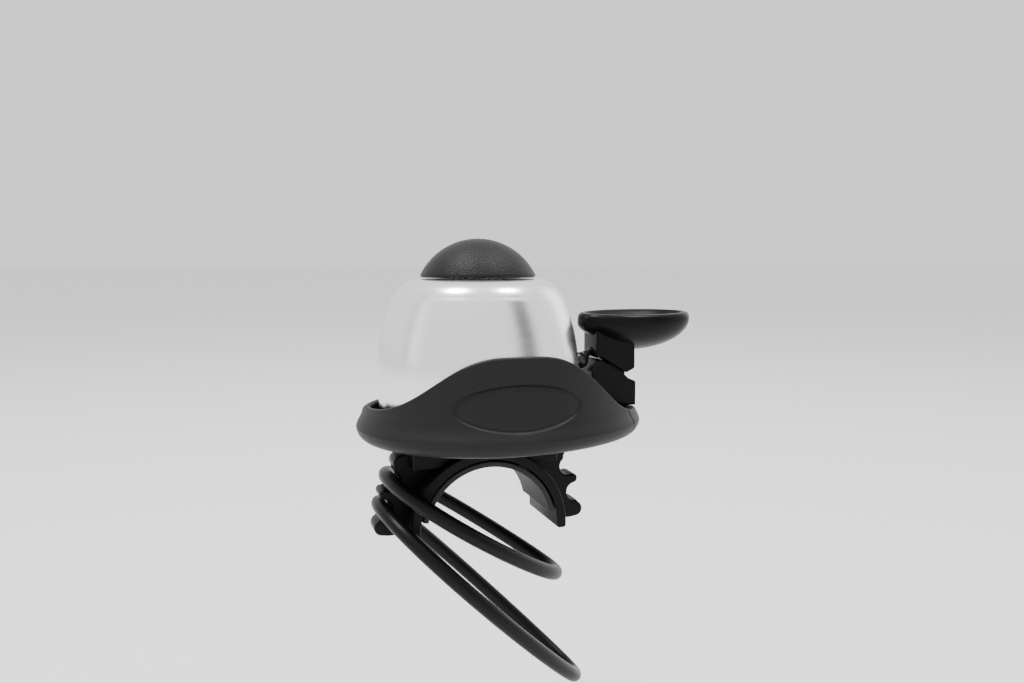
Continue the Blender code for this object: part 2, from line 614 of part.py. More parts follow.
def make_lever():
    stem = [(25.8 * MM, 34.0 * MM), (25.8 * MM, 39.8 * MM), (33.5 * MM, 39.8 * MM), (34.3 * MM, 38.0 * MM),
            (34.3 * MM, 31.6 * MM), (34.0 * MM, 31.2 * MM), (32.4 * MM, 30.5 * MM), (31.6 * MM, 30.75 * MM)]
    lever = plate("thumb_lever", stem, -POST_HALF_WIDTH, POST_HALF_WIDTH)
    soften(lever, 0.3 * MM, 2)
    lug = arc(PIVOT, LUG_RADIUS, 180.0, 360.0, 13) + [(32.6 * MM, 31.2 * MM), (28.6 * MM, 33.4 * MM)]
    boolean(lever, plate("lug", lug, -2.2 * MM, 0.6 * MM), "UNION")
    boolean(lever, smooth(mesh_object("paddle", paddle_shell), 50.0), "UNION")
    boolean(lever, cylinder("lug_hole", PIN_HOLE, -3.0 * MM, 1.5 * MM, "Y", PIVOT, 20), "DIFFERENCE")
    place(lever, material=LEVER_PLASTIC)

    centre = Vector((HAMMER_CENTRE[0], 0.0, HAMMER_CENTRE[1]))
    reach = Vector((26.6 * MM, 0.0, 36.2 * MM)) - centre
    turn = Vector((0.0, 0.0, 1.0)).rotation_difference(reach).to_matrix().to_4x4()

    def rod(radius, start, length, segments):
        middle = centre + reach.normalized() * (start + length / 2)

        def build(work):
            bmesh.ops.create_cone(work, cap_ends=True, segments=segments, radius1=radius, radius2=radius,
                                  depth=length, matrix=Matrix.Translation(middle) @ turn)
        return build

    boolean(lever, mesh_object("hammer_socket", rod(0.9 * MM, 2.5 * MM, 4.0 * MM, 16)), "DIFFERENCE")

    def ball(work):
        bmesh.ops.create_uvsphere(work, u_segments=20, v_segments=12, radius=HAMMER_RADIUS,
                                  matrix=Matrix.Translation(centre))
    hammer = smooth(mesh_object("hammer", ball))
    boolean(hammer, mesh_object("hammer_stem", rod(0.6 * MM, 1.0 * MM, 5.1 * MM, 12)), "UNION")
    place(hammer, material=BLACK_STEEL)

    pin = cylinder("lever_pin", PIN_RADIUS, -2.8 * MM, 3.4 * MM, "Y", PIVOT, 16)
    place(pin, material=STEEL)
    spring = make_spring()
    swing = pivot_empty("lever_tilt_axis", (PIVOT[0], 0.0, PIVOT[1]))
    hang_on(swing, [lever, hammer])
    return spring


def make_spring():
    """A torsion spring round the pin: two and a half turns, one leg on the slot's floor, one on the stem."""
    wire, coil = 0.22 * MM, 1.5 * MM
    start_y, end_y = 1.15 * MM, 2.2 * MM
    turns, per_turn = 2.5, 12
    count = int(turns * per_turn)
    points = [(PIVOT[0] - 3.2 * MM, start_y, SLOT_FLOOR + 0.6 * MM)]
    for i in range(count + 1):
        angle = -math.pi / 2 - 2 * math.pi * turns * i / count
        points.append((PIVOT[0] + coil * math.cos(angle), start_y + (end_y - start_y) * i / count,
                       PIVOT[1] + coil * math.sin(angle)))
    points.append((PIVOT[0] - 1.8 * MM, end_y, PIVOT[1] + coil + 1.2 * MM))
    curve = bpy.data.curves.new("lever_spring", "CURVE")
    curve.dimensions = "3D"
    curve.bevel_depth = wire
    curve.bevel_resolution = 2
    curve.use_fill_caps = True
    spline = curve.splines.new("POLY")
    spline.points.add(len(points) - 1)
    for point, place_at in zip(spline.points, points):
        point.co = (*place_at, 1.0)
    obj = bpy.data.objects.new("lever_spring", curve)
    return place(obj, material=STEEL)


# ---------------------------------------------------------------- rubber rings

def make_rubber_ring(name, seat, size, drop):
    """An egg-shaped rubber ring that hangs on the far hooks and slopes down towards the lever side."""
    half_length, half_width = size
    along = Vector((math.cos(drop), 0.0, -math.sin(drop)))
    start = Vector((-seat[0], 0.0, seat[1]))
    curve = bpy.data.curves.new(name, "CURVE")
    curve.dimensions = "3D"
    curve.bevel_depth = RING_SECTION
    curve.bevel_resolution = 3
    spline = curve.splines.new("POLY")
    steps = 52
    spline.points.add(steps - 1)
    for i, point in enumerate(spline.points):
        angle = 2 * math.pi * i / steps
        reach = half_length * (1 - math.cos(angle))
        side = half_width * math.sin(angle) * (1 + RING_TAPER * math.cos(angle))
        point.co = (*(start + along * reach + Vector((0.0, side, 0.0))), 1.0)
    spline.use_cyclic_u = True
    path = bpy.data.objects.new(name, curve)
    bpy.context.scene.collection.objects.link(path)
    ring = smooth(place(curve_to_mesh(name, path), material=RING_RUBBER), 80.0)
    swing = pivot_empty(f"{name}_axis", start)
    hang_on(swing, [ring])
    return ring


def main():
    make_dome()
    make_cap()
    make_dome_fixings()
    make_base()
    make_saddle()
    make_saddle_fittings()
    make_bracket()
    make_lever()
    make_rubber_ring("rubber_ring_upper", UPPER_SEAT, UPPER_RING_SIZE, UPPER_RING_DROP)
    make_rubber_ring("rubber_ring_lower", LOWER_SEAT, LOWER_RING_SIZE, LOWER_RING_DROP)


main()
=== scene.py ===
"""Looks of a handlebar bell: satin dome, egg-shaped tray with a front shield, thumb lever, saddle and rings.

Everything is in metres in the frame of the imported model: +Z is the dome's axis, +X points to the thumb
lever, Y runs along the handlebar, and the origin is the handlebar's centre.
"""
import json
import logging
import math
from dataclasses import dataclass
from enum import Enum
from typing import Callable, Dict, List, Optional, Sequence, Tuple, Union

import bpy
import numpy as np
from mathutils import Matrix, Vector


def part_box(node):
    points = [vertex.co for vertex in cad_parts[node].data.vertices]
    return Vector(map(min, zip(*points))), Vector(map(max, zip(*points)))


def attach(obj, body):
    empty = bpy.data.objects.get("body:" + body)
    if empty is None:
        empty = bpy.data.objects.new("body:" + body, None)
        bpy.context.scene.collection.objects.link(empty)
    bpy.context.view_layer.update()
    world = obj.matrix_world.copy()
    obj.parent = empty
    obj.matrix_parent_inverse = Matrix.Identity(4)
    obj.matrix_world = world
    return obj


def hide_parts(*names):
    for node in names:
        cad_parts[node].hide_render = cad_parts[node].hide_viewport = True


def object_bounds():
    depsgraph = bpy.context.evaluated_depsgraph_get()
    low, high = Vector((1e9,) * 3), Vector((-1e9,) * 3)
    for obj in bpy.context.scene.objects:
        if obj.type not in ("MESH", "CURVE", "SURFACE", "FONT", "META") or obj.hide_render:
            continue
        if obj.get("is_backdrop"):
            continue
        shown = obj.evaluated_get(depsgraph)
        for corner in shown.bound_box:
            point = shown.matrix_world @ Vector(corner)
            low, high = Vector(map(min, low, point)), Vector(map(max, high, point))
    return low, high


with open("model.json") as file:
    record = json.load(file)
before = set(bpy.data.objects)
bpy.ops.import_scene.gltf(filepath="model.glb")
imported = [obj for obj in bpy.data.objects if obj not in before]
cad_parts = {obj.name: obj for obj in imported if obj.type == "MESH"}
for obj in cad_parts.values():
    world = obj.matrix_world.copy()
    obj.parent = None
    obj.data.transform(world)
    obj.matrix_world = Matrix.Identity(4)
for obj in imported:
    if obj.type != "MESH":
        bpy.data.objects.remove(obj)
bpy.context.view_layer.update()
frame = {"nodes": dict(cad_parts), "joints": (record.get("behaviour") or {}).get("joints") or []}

MM = 0.001
LOG = logging.getLogger("bell")
Pair = Tuple[float, float]


# ------------------------------------------------------------------------------------ shells

@dataclass
class Shell:
    """One or more closed skins: points as an (n, 3) array and faces as tuples of point numbers."""

    points: np.ndarray
    faces: List[Tuple[int, ...]]

    def __add__(self, other: "Shell") -> "Shell":
        """Put two skins in one.

        Args:
            other: the skin that is added.

        Returns:
            A skin with the points and faces of both.
        """
        shift = len(self.points)
        moved = [tuple(i + shift for i in face) for face in other.faces]
        return Shell(np.vstack([self.points, other.points]), self.faces + moved)

    def placed(self, matrix: Matrix) -> "Shell":
        """Give the skin turned and moved by a matrix."""
        turn = np.array(matrix)
        return Shell(self.points @ turn[:3, :3].T + turn[:3, 3], self.faces)

    def outward(self) -> "Shell":
        """Turn the faces round if the volume that they enclose comes out negative.

        Returns:
            The same skin with its faces pointing out. The volume is a sixth of the sum, over each
            face's fan of triangles, of the triple product of the three corners.
        """
        fans = [(face[0], face[i], face[i + 1]) for face in self.faces for i in range(1, len(face) - 1)]
        corner = self.points[np.array(fans)]
        volume = np.einsum("ij,ij->i", corner[:, 0], np.cross(corner[:, 1], corner[:, 2])).sum()
        if volume < 0:
            self.faces = [face[::-1] for face in self.faces]
        return self

    def to_object(self, name: str, sharp: float = 40.0) -> bpy.types.Object:
        """Make a mesh object at the origin.

        Args:
            name: the piece's name.
            sharp: edges that turn more than this many degrees stay sharp.

        Returns:
            The linked object, shaded smooth between its sharp edges.
        """
        mesh = bpy.data.meshes.new(name)
        mesh.from_pydata(self.points.tolist(), [], self.faces)
        mesh.shade_smooth()
        mesh.set_sharp_from_angle(angle=math.radians(sharp))
        mesh.validate()
        made = bpy.data.objects.new(name, mesh)
        bpy.context.scene.collection.objects.link(made)
        return made


def skin(grid: np.ndarray, rows_closed: bool = False, poles: Optional[Sequence[np.ndarray]] = None) -> Shell:
    """Cover a grid of points with faces.

    Args:
        grid: points as (rows, columns, 3); the columns go all the way round.
        rows_closed: the last row joins the first, as on a ring.
        poles: the two points that close the first and the last row. None closes them with flat faces.

    Returns:
        A closed skin. Face (i, j) joins points (i, j), (i, j + 1), (i + 1, j + 1) and (i + 1, j).
    """
    rows, columns = grid.shape[:2]
    number = np.arange(rows * columns).reshape(rows, columns)
    after = np.roll(number, -1, axis=1)
    low, high = (number, np.roll(number, -1, axis=0)) if rows_closed else (number[:-1], number[1:])
    low_after, high_after = (after, np.roll(after, -1, axis=0)) if rows_closed else (after[:-1], after[1:])
    quads = np.stack([low, low_after, high_after, high], axis=-1).reshape(-1, 4)
    points = grid.reshape(-1, 3)
    faces = [tuple(quad) for quad in quads.tolist()]
    if not rows_closed:
        if poles is None:
            faces.append(tuple(number[0][::-1].tolist()))
            faces.append(tuple(number[-1].tolist()))
        else:
            first, last = len(points), len(points) + 1
            points = np.vstack([points, np.array(poles, float)])
            faces += [(first, b, a) for a, b in zip(number[0].tolist(), after[0].tolist())]
            faces += [(last, a, b) for a, b in zip(number[-1].tolist(), after[-1].tolist())]
    return Shell(points, faces).outward()


def arc(centre: Pair, radius: float, start: float, end: float, count: int) -> np.ndarray:
    """Points on an arc: the centre plus the radius times (cos, sin) of evenly spaced angles in degrees."""
    angle = np.radians(np.linspace(start, end, count))
    return np.stack([centre[0] + radius * np.cos(angle), centre[1] + radius * np.sin(angle)], axis=1)


def revolve(profile: np.ndarray, steps: int, closed: bool) -> Shell:
    """Turn a profile about Z.

    Args:
        profile: (radius, height) points. An open profile starts and ends on the axis.
        steps: points round the axis.
        closed: the profile is a closed loop that stays off the axis.

    Returns:
        The turned skin. A point of the surface is (r cos a, r sin a, z).
    """
    angle = np.linspace(0.0, 2 * np.pi, steps, endpoint=False)
    body = profile if closed else profile[1:-1]
    radius, height = body[:, 0:1], body[:, 1:2]
    grid = np.stack([radius * np.cos(angle), radius * np.sin(angle), height + 0 * angle], axis=-1)
    if closed:
        return skin(grid, rows_closed=True)
    ends = [np.array([0.0, 0.0, profile[0, 1]]), np.array([0.0, 0.0, profile[-1, 1]])]
    return skin(grid, poles=ends)


def rounded(corners: Sequence[Tuple[float, float, float]], spacing: float = 0.25 * MM) -> np.ndarray:
    """Round the corners of a closed outline.

    Args:
        corners: (x, z, radius) of each corner, in order.
        spacing: the longest step along the straight stretches.

    Returns:
        The outline's points. Each corner is an arc that touches both of its sides: it starts
        radius * tan(half the turn) before the corner.
    """
    spots = np.array([corner[:2] for corner in corners])
    pieces = []
    for i, (x, z, radius) in enumerate(corners):
        here = np.array([x, z])
        back = spots[i - 1] - here
        ahead = spots[(i + 1) % len(spots)] - here
        back_length, ahead_length = np.linalg.norm(back), np.linalg.norm(ahead)
        back, ahead = back / back_length, ahead / ahead_length
        opening = math.acos(max(-1.0, min(1.0, float(back @ ahead))))
        reach = min(radius / math.tan(opening / 2), 0.49 * back_length, 0.49 * ahead_length)
        size = reach * math.tan(opening / 2)
        if radius <= 0 or opening > math.radians(176):
            pieces.append(here[None, :])
            continue
        middle = here + (back + ahead) / np.linalg.norm(back + ahead) * size / math.sin(opening / 2)
        first, last = here + back * reach - middle, here + ahead * reach - middle
        share = np.linspace(0.0, 1.0, 7)[:, None]
        turn = math.pi - opening
        bend = np.sin((1 - share) * turn) * first + np.sin(share * turn) * last
        pieces.append(middle + bend / math.sin(turn))
    loop = np.vstack(pieces)
    return refined(loop, spacing)


def refined(loop: np.ndarray, spacing: float) -> np.ndarray:
    """Add points along a closed loop's long sides, so that no step is longer than the spacing.

    Args:
        loop: (n, 2) points in order.
        spacing: the longest step.

    Returns:
        The loop with evenly shared points on each side that is too long.
    """
    ahead = np.roll(loop, -1, axis=0)
    counts = np.maximum(1, np.ceil(np.linalg.norm(ahead - loop, axis=1) / spacing).astype(int))
    start = np.repeat(np.arange(len(loop)), counts)
    share = np.arange(counts.sum()) - np.repeat(np.cumsum(counts) - counts, counts)
    share = (share / np.repeat(counts, counts))[:, None]
    return loop[start] * (1 - share) + ahead[start] * share


def inset(loop: np.ndarray, distance: float) -> np.ndarray:
    """Move a closed loop inwards: each point goes along its mitred normal by the distance.

    Args:
        loop: (n, 2) points in order, either way round.
        distance: how far its sides move.

    Returns:
        The moved loop, with the same number of points.
    """
    def unit(v: np.ndarray) -> np.ndarray:
        """Each row at length 1."""
        return v / np.maximum(np.linalg.norm(v, axis=1, keepdims=True), 1e-12)
    before = unit(loop - np.roll(loop, 1, axis=0))
    after = unit(np.roll(loop, -1, axis=0) - loop)
    x, z = loop[:, 0], loop[:, 1]
    area = np.sum(x * np.roll(z, -1) - np.roll(x, -1) * z)
    side = np.sign(area)
    normal = side * np.stack([-(before + after)[:, 1], (before + after)[:, 0]], axis=1)
    normal = unit(normal)
    edge = side * np.stack([-before[:, 1], before[:, 0]], axis=1)
    mitre = 1 / np.clip(np.sum(normal * edge, axis=1), 0.6, 1.0)
    return loop + normal * (distance * mitre)[:, None]


def prism(outline: np.ndarray, low: float, high: float, edge: float, steps: int = 4) -> Shell:
    """Stand an outline up in the XZ plane with round edges.

    Args:
        outline: (x, z) points of a closed loop.
        low: its lowest Y.
        high: its highest Y.
        edge: the radius of its rounded edges.
        steps: rows on each rounded edge.

    Returns:
        A closed prism. On an edge at angle a, the outline is inset by edge * (1 - sin a) at a depth of
        edge * (1 - cos a) from the face, and one more row inside each face keeps it flat.
    """
    angle = np.linspace(0.0, np.pi / 2, steps + 1)
    shrink = np.concatenate([[edge + 0.06 * MM], edge * (1 - np.sin(angle))])
    depth = np.concatenate([[0.0], edge * (1 - np.cos(angle))])
    rows = [np.insert(inset(outline, s), 1, low + d, axis=1) for s, d in zip(shrink, depth)]
    rows += [np.insert(inset(outline, s), 1, high - d, axis=1) for s, d in zip(shrink[::-1], depth[::-1])]
    return skin(np.stack(rows))


def tube(path: np.ndarray, section: Callable[[np.ndarray], np.ndarray], sides: int, closed: bool,
         up: Vector) -> Shell:
    """Carry a round section along a path.

    Args:
        path: (n, 3) points of the centre line.
        section: gives the radius at an array of angles about the path.
        sides: points round the section.
        closed: the path is a loop.
        up: a direction that the path never runs along.

    Returns:
        The tube. A point is path + radius(a) * (cos a * side + sin a * over), where side and over are the
        path's two normals.
    """
    if closed:
        tangent = np.roll(path, -1, axis=0) - np.roll(path, 1, axis=0)
    else:
        tangent = np.gradient(path, axis=0)
    tangent = tangent / np.linalg.norm(tangent, axis=1, keepdims=True)
    side = np.cross(tangent, np.array(up))
    side = side / np.linalg.norm(side, axis=1, keepdims=True)
    over = np.cross(side, tangent)
    angle = np.linspace(0.0, 2 * np.pi, sides, endpoint=False)
    reach = section(angle)
    grid = (path[:, None, :] + (reach * np.cos(angle))[None, :, None] * side[:, None, :]
            + (reach * np.sin(angle))[None, :, None] * over[:, None, :])
    if closed:
        return skin(grid, rows_closed=True)
    return skin(grid, poles=[path[0], path[-1]])


def carved(target: bpy.types.Object, cutters: Sequence[bpy.types.Object]) -> bpy.types.Object:
    """Cut shapes out of a piece with exact Booleans, apply them and remove the cutters.

    Args:
        target: the piece.
        cutters: closed shapes, which are removed.

    Returns:
        The piece, with the cuts in its mesh.
    """
    for cutter in cutters:
        modifier = target.modifiers.new("cut", "BOOLEAN")
        modifier.operation = "DIFFERENCE"
        modifier.object = cutter
    bpy.context.view_layer.update()
    evaluated = target.evaluated_get(bpy.context.evaluated_depsgraph_get())
    mesh = bpy.data.meshes.new_from_object(evaluated)
    target.modifiers.clear()
    target.data = mesh
    for cutter in cutters:
        bpy.data.objects.remove(cutter, do_unlink=True)
    mesh.shade_smooth()
    mesh.set_sharp_from_angle(angle=math.radians(40.0))
    return target


def rod(radius: float, low: float, high: float, centre: Pair = (0.0, 0.0), sides: int = 40,
        edge: float = 0.0) -> Shell:
    """An upright cylinder with its ends broken by the edge's width."""
    profile = np.array([(0.0, high), (radius - edge, high), (radius, high - edge), (radius, low + edge),
                        (radius - edge, low), (0.0, low)])
    return revolve(profile, sides, False).placed(Matrix.Translation((centre[0], centre[1], 0.0)))


# ------------------------------------------------------------------------------------ shader graph

class Graph:
    """A material's nodes, added one at a time."""

    def __init__(self, name: str) -> None:
        """Make a material with an empty Principled shader.

        Args:
            name: the material's name.
        """
        self.material = bpy.data.materials.new(name)
        self.material.use_nodes = True
        self.tree = self.material.node_tree
        self.shader = self.tree.nodes["Principled BSDF"]

    def node(self, kind: str, settings: Optional[Dict[str, object]] = None, output: Union[int, str] = 0,
             **sockets: object) -> "Value":
        """Add a node.

        Args:
            kind: the node's type without "ShaderNode".
            settings: its properties, set first. "stops" are a ramp's (place, grey) pairs.
            output: the output that is given back.
            **sockets: values or links by socket name, with _ for a space, or by number as "at_0".

        Returns:
            The chosen output, ready for arithmetic.
        """
        made = self.tree.nodes.new("ShaderNode" + kind)
        for key, value in (settings or {}).items():
            if key == "stops":
                ramp = made.color_ramp
                while len(ramp.elements) > 2:
                    ramp.elements.remove(ramp.elements[-1])
                for i, (spot, grey) in enumerate(value):
                    stop = ramp.elements[i] if i < 2 else ramp.elements.new(spot)
                    stop.position = spot
                    stop.color = (grey, grey, grey, 1.0)
            else:
                setattr(made, key, value)
        for key, value in sockets.items():
            number = int(key[3:]) if key.startswith("at_") else key.replace("_", " ")
            self.join(made.inputs[number], value)
        return Value(self, made.outputs[output])

    def join(self, target: bpy.types.NodeSocket, value: object) -> None:
        """Link a value to a socket, or set the socket to a plain number or colour."""
        if isinstance(value, Value):
            self.tree.links.new(value.socket, target)
        else:
            target.default_value = value

    def place(self) -> "Value":
        """The point's place on the object, in metres."""
        return self.node("TexCoord", output="Object")

    def noise(self, at: "Value", size: float, detail: float = 2.0, roughness: float = 0.5) -> "Value":
        """Noise from 0 to 1 whose lumps are about size metres across."""
        return self.node("TexNoise", Vector=at, Scale=1 / size, Detail=detail, Roughness=roughness)

    def range(self, value: "Value", low: float, high: float) -> "Value":
        """A smooth step from 0 at low to 1 at high."""
        return self.node("MapRange", {"interpolation_type": "SMOOTHSTEP"}, at_0=value, at_1=low, at_2=high)

    def blend(self, share: object, first: Sequence[float], second: Sequence[float]) -> "Value":
        """Mix two colours by a share.

        Args:
            share: a number or link from 0 to 1.
            first: the colour at 0.
            second: the colour at 1.

        Returns:
            The mixed colour.
        """
        made = self.tree.nodes.new("ShaderNodeMix")
        made.data_type = "RGBA"
        self.join(made.inputs[0], share)
        for socket, colour in ((made.inputs[6], first), (made.inputs[7], second)):
            self.join(socket, colour if isinstance(colour, Value) else (*colour, 1.0))
        return Value(self, made.outputs[2])

    def feed(self, **sockets: object) -> None:
        """Give the shader's sockets their values or links."""
        for key, value in sockets.items():
            self.join(self.shader.inputs[key.replace("_", " ")], value)

    def bump(self, height: "Value", depth: float) -> None:
        """Raise the surface by a height from 0 to 1 times a depth in metres."""
        normal = self.node("Bump", Strength=1.0, Distance=depth, Height=height)
        self.join(self.shader.inputs["Normal"], normal)


@dataclass
class Value:
    """A shader socket that takes part in Python arithmetic, one Math node for each operation."""

    graph: Graph
    socket: bpy.types.NodeSocket

    def _math(self, operation: str, first: object, second: object) -> "Value":
        """One Math node."""
        return self.graph.node("Math", {"operation": operation}, at_0=first, at_1=second)

    def __add__(self, other: object) -> "Value":
        """Sum."""
        return self._math("ADD", self, other)

    __radd__ = __add__

    def __mul__(self, other: object) -> "Value":
        """Product."""
        return self._math("MULTIPLY", self, other)

    __rmul__ = __mul__

    def __sub__(self, other: object) -> "Value":
        """Difference."""
        return self._math("SUBTRACT", self, other)

    def __rsub__(self, other: object) -> "Value":
        """Difference the other way round."""
        return self._math("SUBTRACT", other, self)

    def __truediv__(self, other: object) -> "Value":
        """Quotient."""
        return self._math("DIVIDE", self, other)

    def __pow__(self, other: object) -> "Value":
        """Power."""
        return self._math("POWER", self, other)

    def axis(self, letter: str) -> "Value":
        """One coordinate of a vector."""
        return self.graph.node("SeparateXYZ", output=letter, Vector=self)


# ------------------------------------------------------------------------------------ finishes

@dataclass(frozen=True)
class Finish:
    """A finish: its slot in the record, its colour and how rough it is."""

    slot: str
    colour: Tuple[float, float, float]
    roughness: float
    metallic: float = 0.0
    specular: float = 0.5

    def start(self) -> Graph:
        """Make the material with what is the same all over it.

        Returns:
            The material's graph, with the uniform values on the shader's own sockets.
        """
        graph = Graph(self.slot)
        graph.feed(Metallic=self.metallic, Specular_IOR_Level=self.specular)
        graph.material.diffuse_color = (*self.colour, 1.0)
        return graph

    def shades(self, graph: Graph, share: Value, spread: float) -> None:
        """Vary the colour by a share of its own brightness, darker at 0 and lighter at 1.

        Args:
            graph: the material's graph.
            share: a link from 0 to 1.
            spread: how far the brightness goes each way.
        """
        dark = [c * (1 - spread) for c in self.colour]
        light = [min(c * (1 + spread), 1.0) for c in self.colour]
        graph.feed(Base_Color=graph.blend(share, dark, light))

    def make(self) -> bpy.types.Material:
        """Build the material."""
        raise NotImplementedError


@dataclass(frozen=True)
class TurnedMetal(Finish):
    """Metal spun or turned about the Z axis and polished: fine rings, faint smudges and small marks."""

    line: float = 0.16 * MM
    depth: float = 0.0006 * MM

    def make(self) -> bpy.types.Material:
        """Rings run where height minus radius is the same, so they go round the flank and the top alike.

        Returns:
            The finished material.
        """
        graph = self.start()
        at = graph.place()
        x, y = at.axis("X"), at.axis("Y")
        run = at.axis("Z") - (x * x + y * y) ** 0.5
        along = {"noise_dimensions": "1D"}
        fine = graph.node("TexNoise", along, W=run / self.line, Scale=1.0, Detail=3.0)
        broad = graph.node("TexNoise", along, W=run / (9 * self.line), Scale=1.0, Detail=2.0)
        smudge = graph.noise(at, 9 * MM, 3.0)
        marks = graph.range(graph.noise(at, 0.7 * MM, 4.0, 0.7), 0.62, 0.7)
        graph.feed(Roughness=self.roughness + 0.05 * fine + 0.04 * broad + 0.08 * smudge + 0.05 * marks - 0.1)
        self.shades(graph, 0.4 * fine + 0.6 * smudge, 0.03)
        graph.bump(0.75 * fine + 0.25 * broad, self.depth)
        return graph.material


@dataclass(frozen=True)
class GrainedPlastic(Finish):
    """Moulded plastic with a spark-eroded grain: small rounded pits, with a painted sparkle that makes their
    high spots lighter in colour.
    """

    grain: float = 0.3 * MM
    depth: float = 0.03 * MM
    spread: float = 0.25

    def make(self) -> bpy.types.Material:
        """Pits are cells softened by noise; the colour is painted lighter where the grain stands highest, a
        painted sparkle, and the roughness follows the fine noise and the broad wear.

        Returns:
            The finished material.
        """
        graph = self.start()
        at = graph.place()
        warp = graph.noise(at, 2.2 * self.grain, 2.0)
        cells = graph.node("TexVoronoi", {"feature": "SMOOTH_F1"}, Vector=at, Scale=1 / self.grain,
                           Smoothness=0.7, Randomness=1.0)
        fine = graph.noise(at, 0.5 * self.grain, 3.0, 0.6)
        height = 0.75 * cells + 0.12 * warp + 0.2 * fine
        wear = graph.noise(at, 14 * MM, 3.0)
        graph.feed(Roughness=self.roughness + 0.16 * wear + 0.2 * fine - 0.18)
        # painted sparkle: the colour is lighter on the grain's high spots, on top of a broad random tone from
        # the wear noise
        self.shades(graph, 0.6 * height + 0.4 * wear, self.spread)
        graph.bump(height, self.depth)
        return graph.material


@dataclass(frozen=True)
class SmoothPlastic(Finish):
    """Polished moulded plastic: a soft ripple, hairline scuffs and finger marks in its gloss."""

    scuff: float = 0.12 * MM

    def make(self) -> bpy.types.Material:
        """Scuffs are noise drawn out along X, and marks are broad noise in the roughness.

        Returns:
            The finished material.
        """
        graph = self.start()
        at = graph.place()
        drawn = graph.node("Mapping", Vector=at, Scale=(0.12, 1.0, 0.6))
        hairs = graph.range(graph.noise(drawn, self.scuff, 2.0), 0.58, 0.72)
        marks = graph.noise(at, 4 * MM, 3.0, 0.6)
        ripple = graph.noise(at, 1.4 * MM, 2.0)
        graph.feed(Roughness=self.roughness + 0.14 * marks + 0.1 * hairs - 0.07)
        self.shades(graph, 0.7 * marks + 0.3 * hairs, 0.18)
        graph.bump(0.8 * ripple + 0.2 * hairs, 0.012 * MM)
        return graph.material


@dataclass(frozen=True)
class MouldedRubber(Finish):
    """Moulded rubber: a dull bloom, a very fine grain and a few specks of dust."""

    grain: float = 0.18 * MM

    def make(self) -> bpy.types.Material:
        """The bloom lightens and dulls broad patches; specks are the peaks of a fine noise.

        Returns:
            The finished material.
        """
        graph = self.start()
        at = graph.place()
        bloom = graph.noise(at, 6 * MM, 4.0, 0.6)
        fine = graph.noise(at, self.grain, 3.0, 0.6)
        specks = graph.range(graph.noise(at, 0.3 * MM, 1.0), 0.74, 0.8)
        graph.feed(Roughness=self.roughness + 0.18 * bloom + 0.1 * fine - 0.12)
        self.shades(graph, 0.6 * bloom + 0.2 * fine + 0.9 * specks, 0.35)
        graph.bump(fine, 0.02 * MM)
        return graph.material


@dataclass(frozen=True)
class PlatedMetal(Finish):
    """Small metal parts: drawn or plated, with crystals of tint and tiny pits."""

    crystal: float = 0.9 * MM

    def make(self) -> bpy.types.Material:
        """The tint varies with soft cells, and the pits are the low spots of a fine noise.

        Returns:
            The finished material.
        """
        graph = self.start()
        at = graph.place()
        cells = graph.node("TexVoronoi", {"feature": "SMOOTH_F1"}, Vector=at, Scale=1 / self.crystal,
                           Smoothness=0.5)
        fine = graph.noise(at, 0.1 * MM, 3.0, 0.6)
        graph.feed(Roughness=self.roughness + 0.12 * cells + 0.12 * fine - 0.1)
        self.shades(graph, 0.7 * cells + 0.3 * fine, 0.12)
        graph.bump(fine, 0.004 * MM)
        return graph.material


class Slot(Enum):
    """The finishes by the name of their slot in the record."""

    ALUMINIUM = TurnedMetal("satin_aluminium", (0.93, 0.93, 0.94), 0.25, metallic=1.0)
    CAP = GrainedPlastic("grained_black_plastic", (0.009, 0.009, 0.0095), 0.44, specular=0.15,
                         grain=0.26 * MM, depth=0.09 * MM)
    TRAY = GrainedPlastic("satin_charcoal_plastic", (0.011, 0.011, 0.0115), 0.48, specular=0.15,
                          grain=0.22 * MM, depth=0.03 * MM)
    LEVER = SmoothPlastic("smooth_black_plastic", (0.0035, 0.0035, 0.0037), 0.3, specular=0.1)
    SADDLE = GrainedPlastic("saddle_black_plastic", (0.0035, 0.0035, 0.0037), 0.4, specular=0.1,
                            grain=0.2 * MM, depth=0.014 * MM)
    PAD = MouldedRubber("grey_rubber", (0.022, 0.022, 0.022), 0.6, specular=0.2)
    RING = MouldedRubber("black_rubber", (0.004, 0.004, 0.004), 0.34, specular=0.13)
    NYLON = SmoothPlastic("natural_nylon", (0.75, 0.73, 0.66), 0.45)
    BRASS = PlatedMetal("brass", (0.72, 0.53, 0.24), 0.3, metallic=1.0)
    ZINC = PlatedMetal("zinc_plated_steel", (0.62, 0.62, 0.64), 0.3, metallic=1.0)
    SPRING = PlatedMetal("spring_steel", (0.5, 0.5, 0.52), 0.28, metallic=1.0)
    OXIDE = PlatedMetal("black_oxide_steel", (0.03, 0.03, 0.032), 0.25, metallic=0.6)


class Workshop:
    """Makes each finish once and dresses pieces in it."""

    def __init__(self) -> None:
        """Start with no finishes made."""
        self.made: Dict[Slot, bpy.types.Material] = {}

    def material(self, slot: Slot) -> bpy.types.Material:
        """Give a slot's material, building it the first time."""
        if slot not in self.made:
            self.made[slot] = slot.value.make()
        return self.made[slot]

    def dress(self, piece: bpy.types.Object, slot: Slot, body: str, *nodes: str) -> bpy.types.Object:
        """Finish a new piece.

        Args:
            piece: the piece.
            slot: its finish.
            body: the body that it rides on.
            *nodes: the CAD nodes that it stands for.

        Returns:
            The piece.
        """
        piece.data.materials.clear()
        piece.data.materials.append(self.material(slot))
        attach(piece, body)
        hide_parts(*nodes)
        LOG.info("%s: %d faces, rides on %s", piece.name, len(piece.data.polygons), body)
        return piece

    def repaint(self, node: str, slot: Slot) -> None:
        """Give a CAD node that stays in view its finish.

        Args:
            node: the node's name.
            slot: its finish.
        """
        piece = frame["nodes"][node]
        piece.data.materials.clear()
        piece.data.materials.append(self.material(slot))
        LOG.info("%s: kept, in %s", node, slot.value.slot)


# ------------------------------------------------------------------------------------ dome

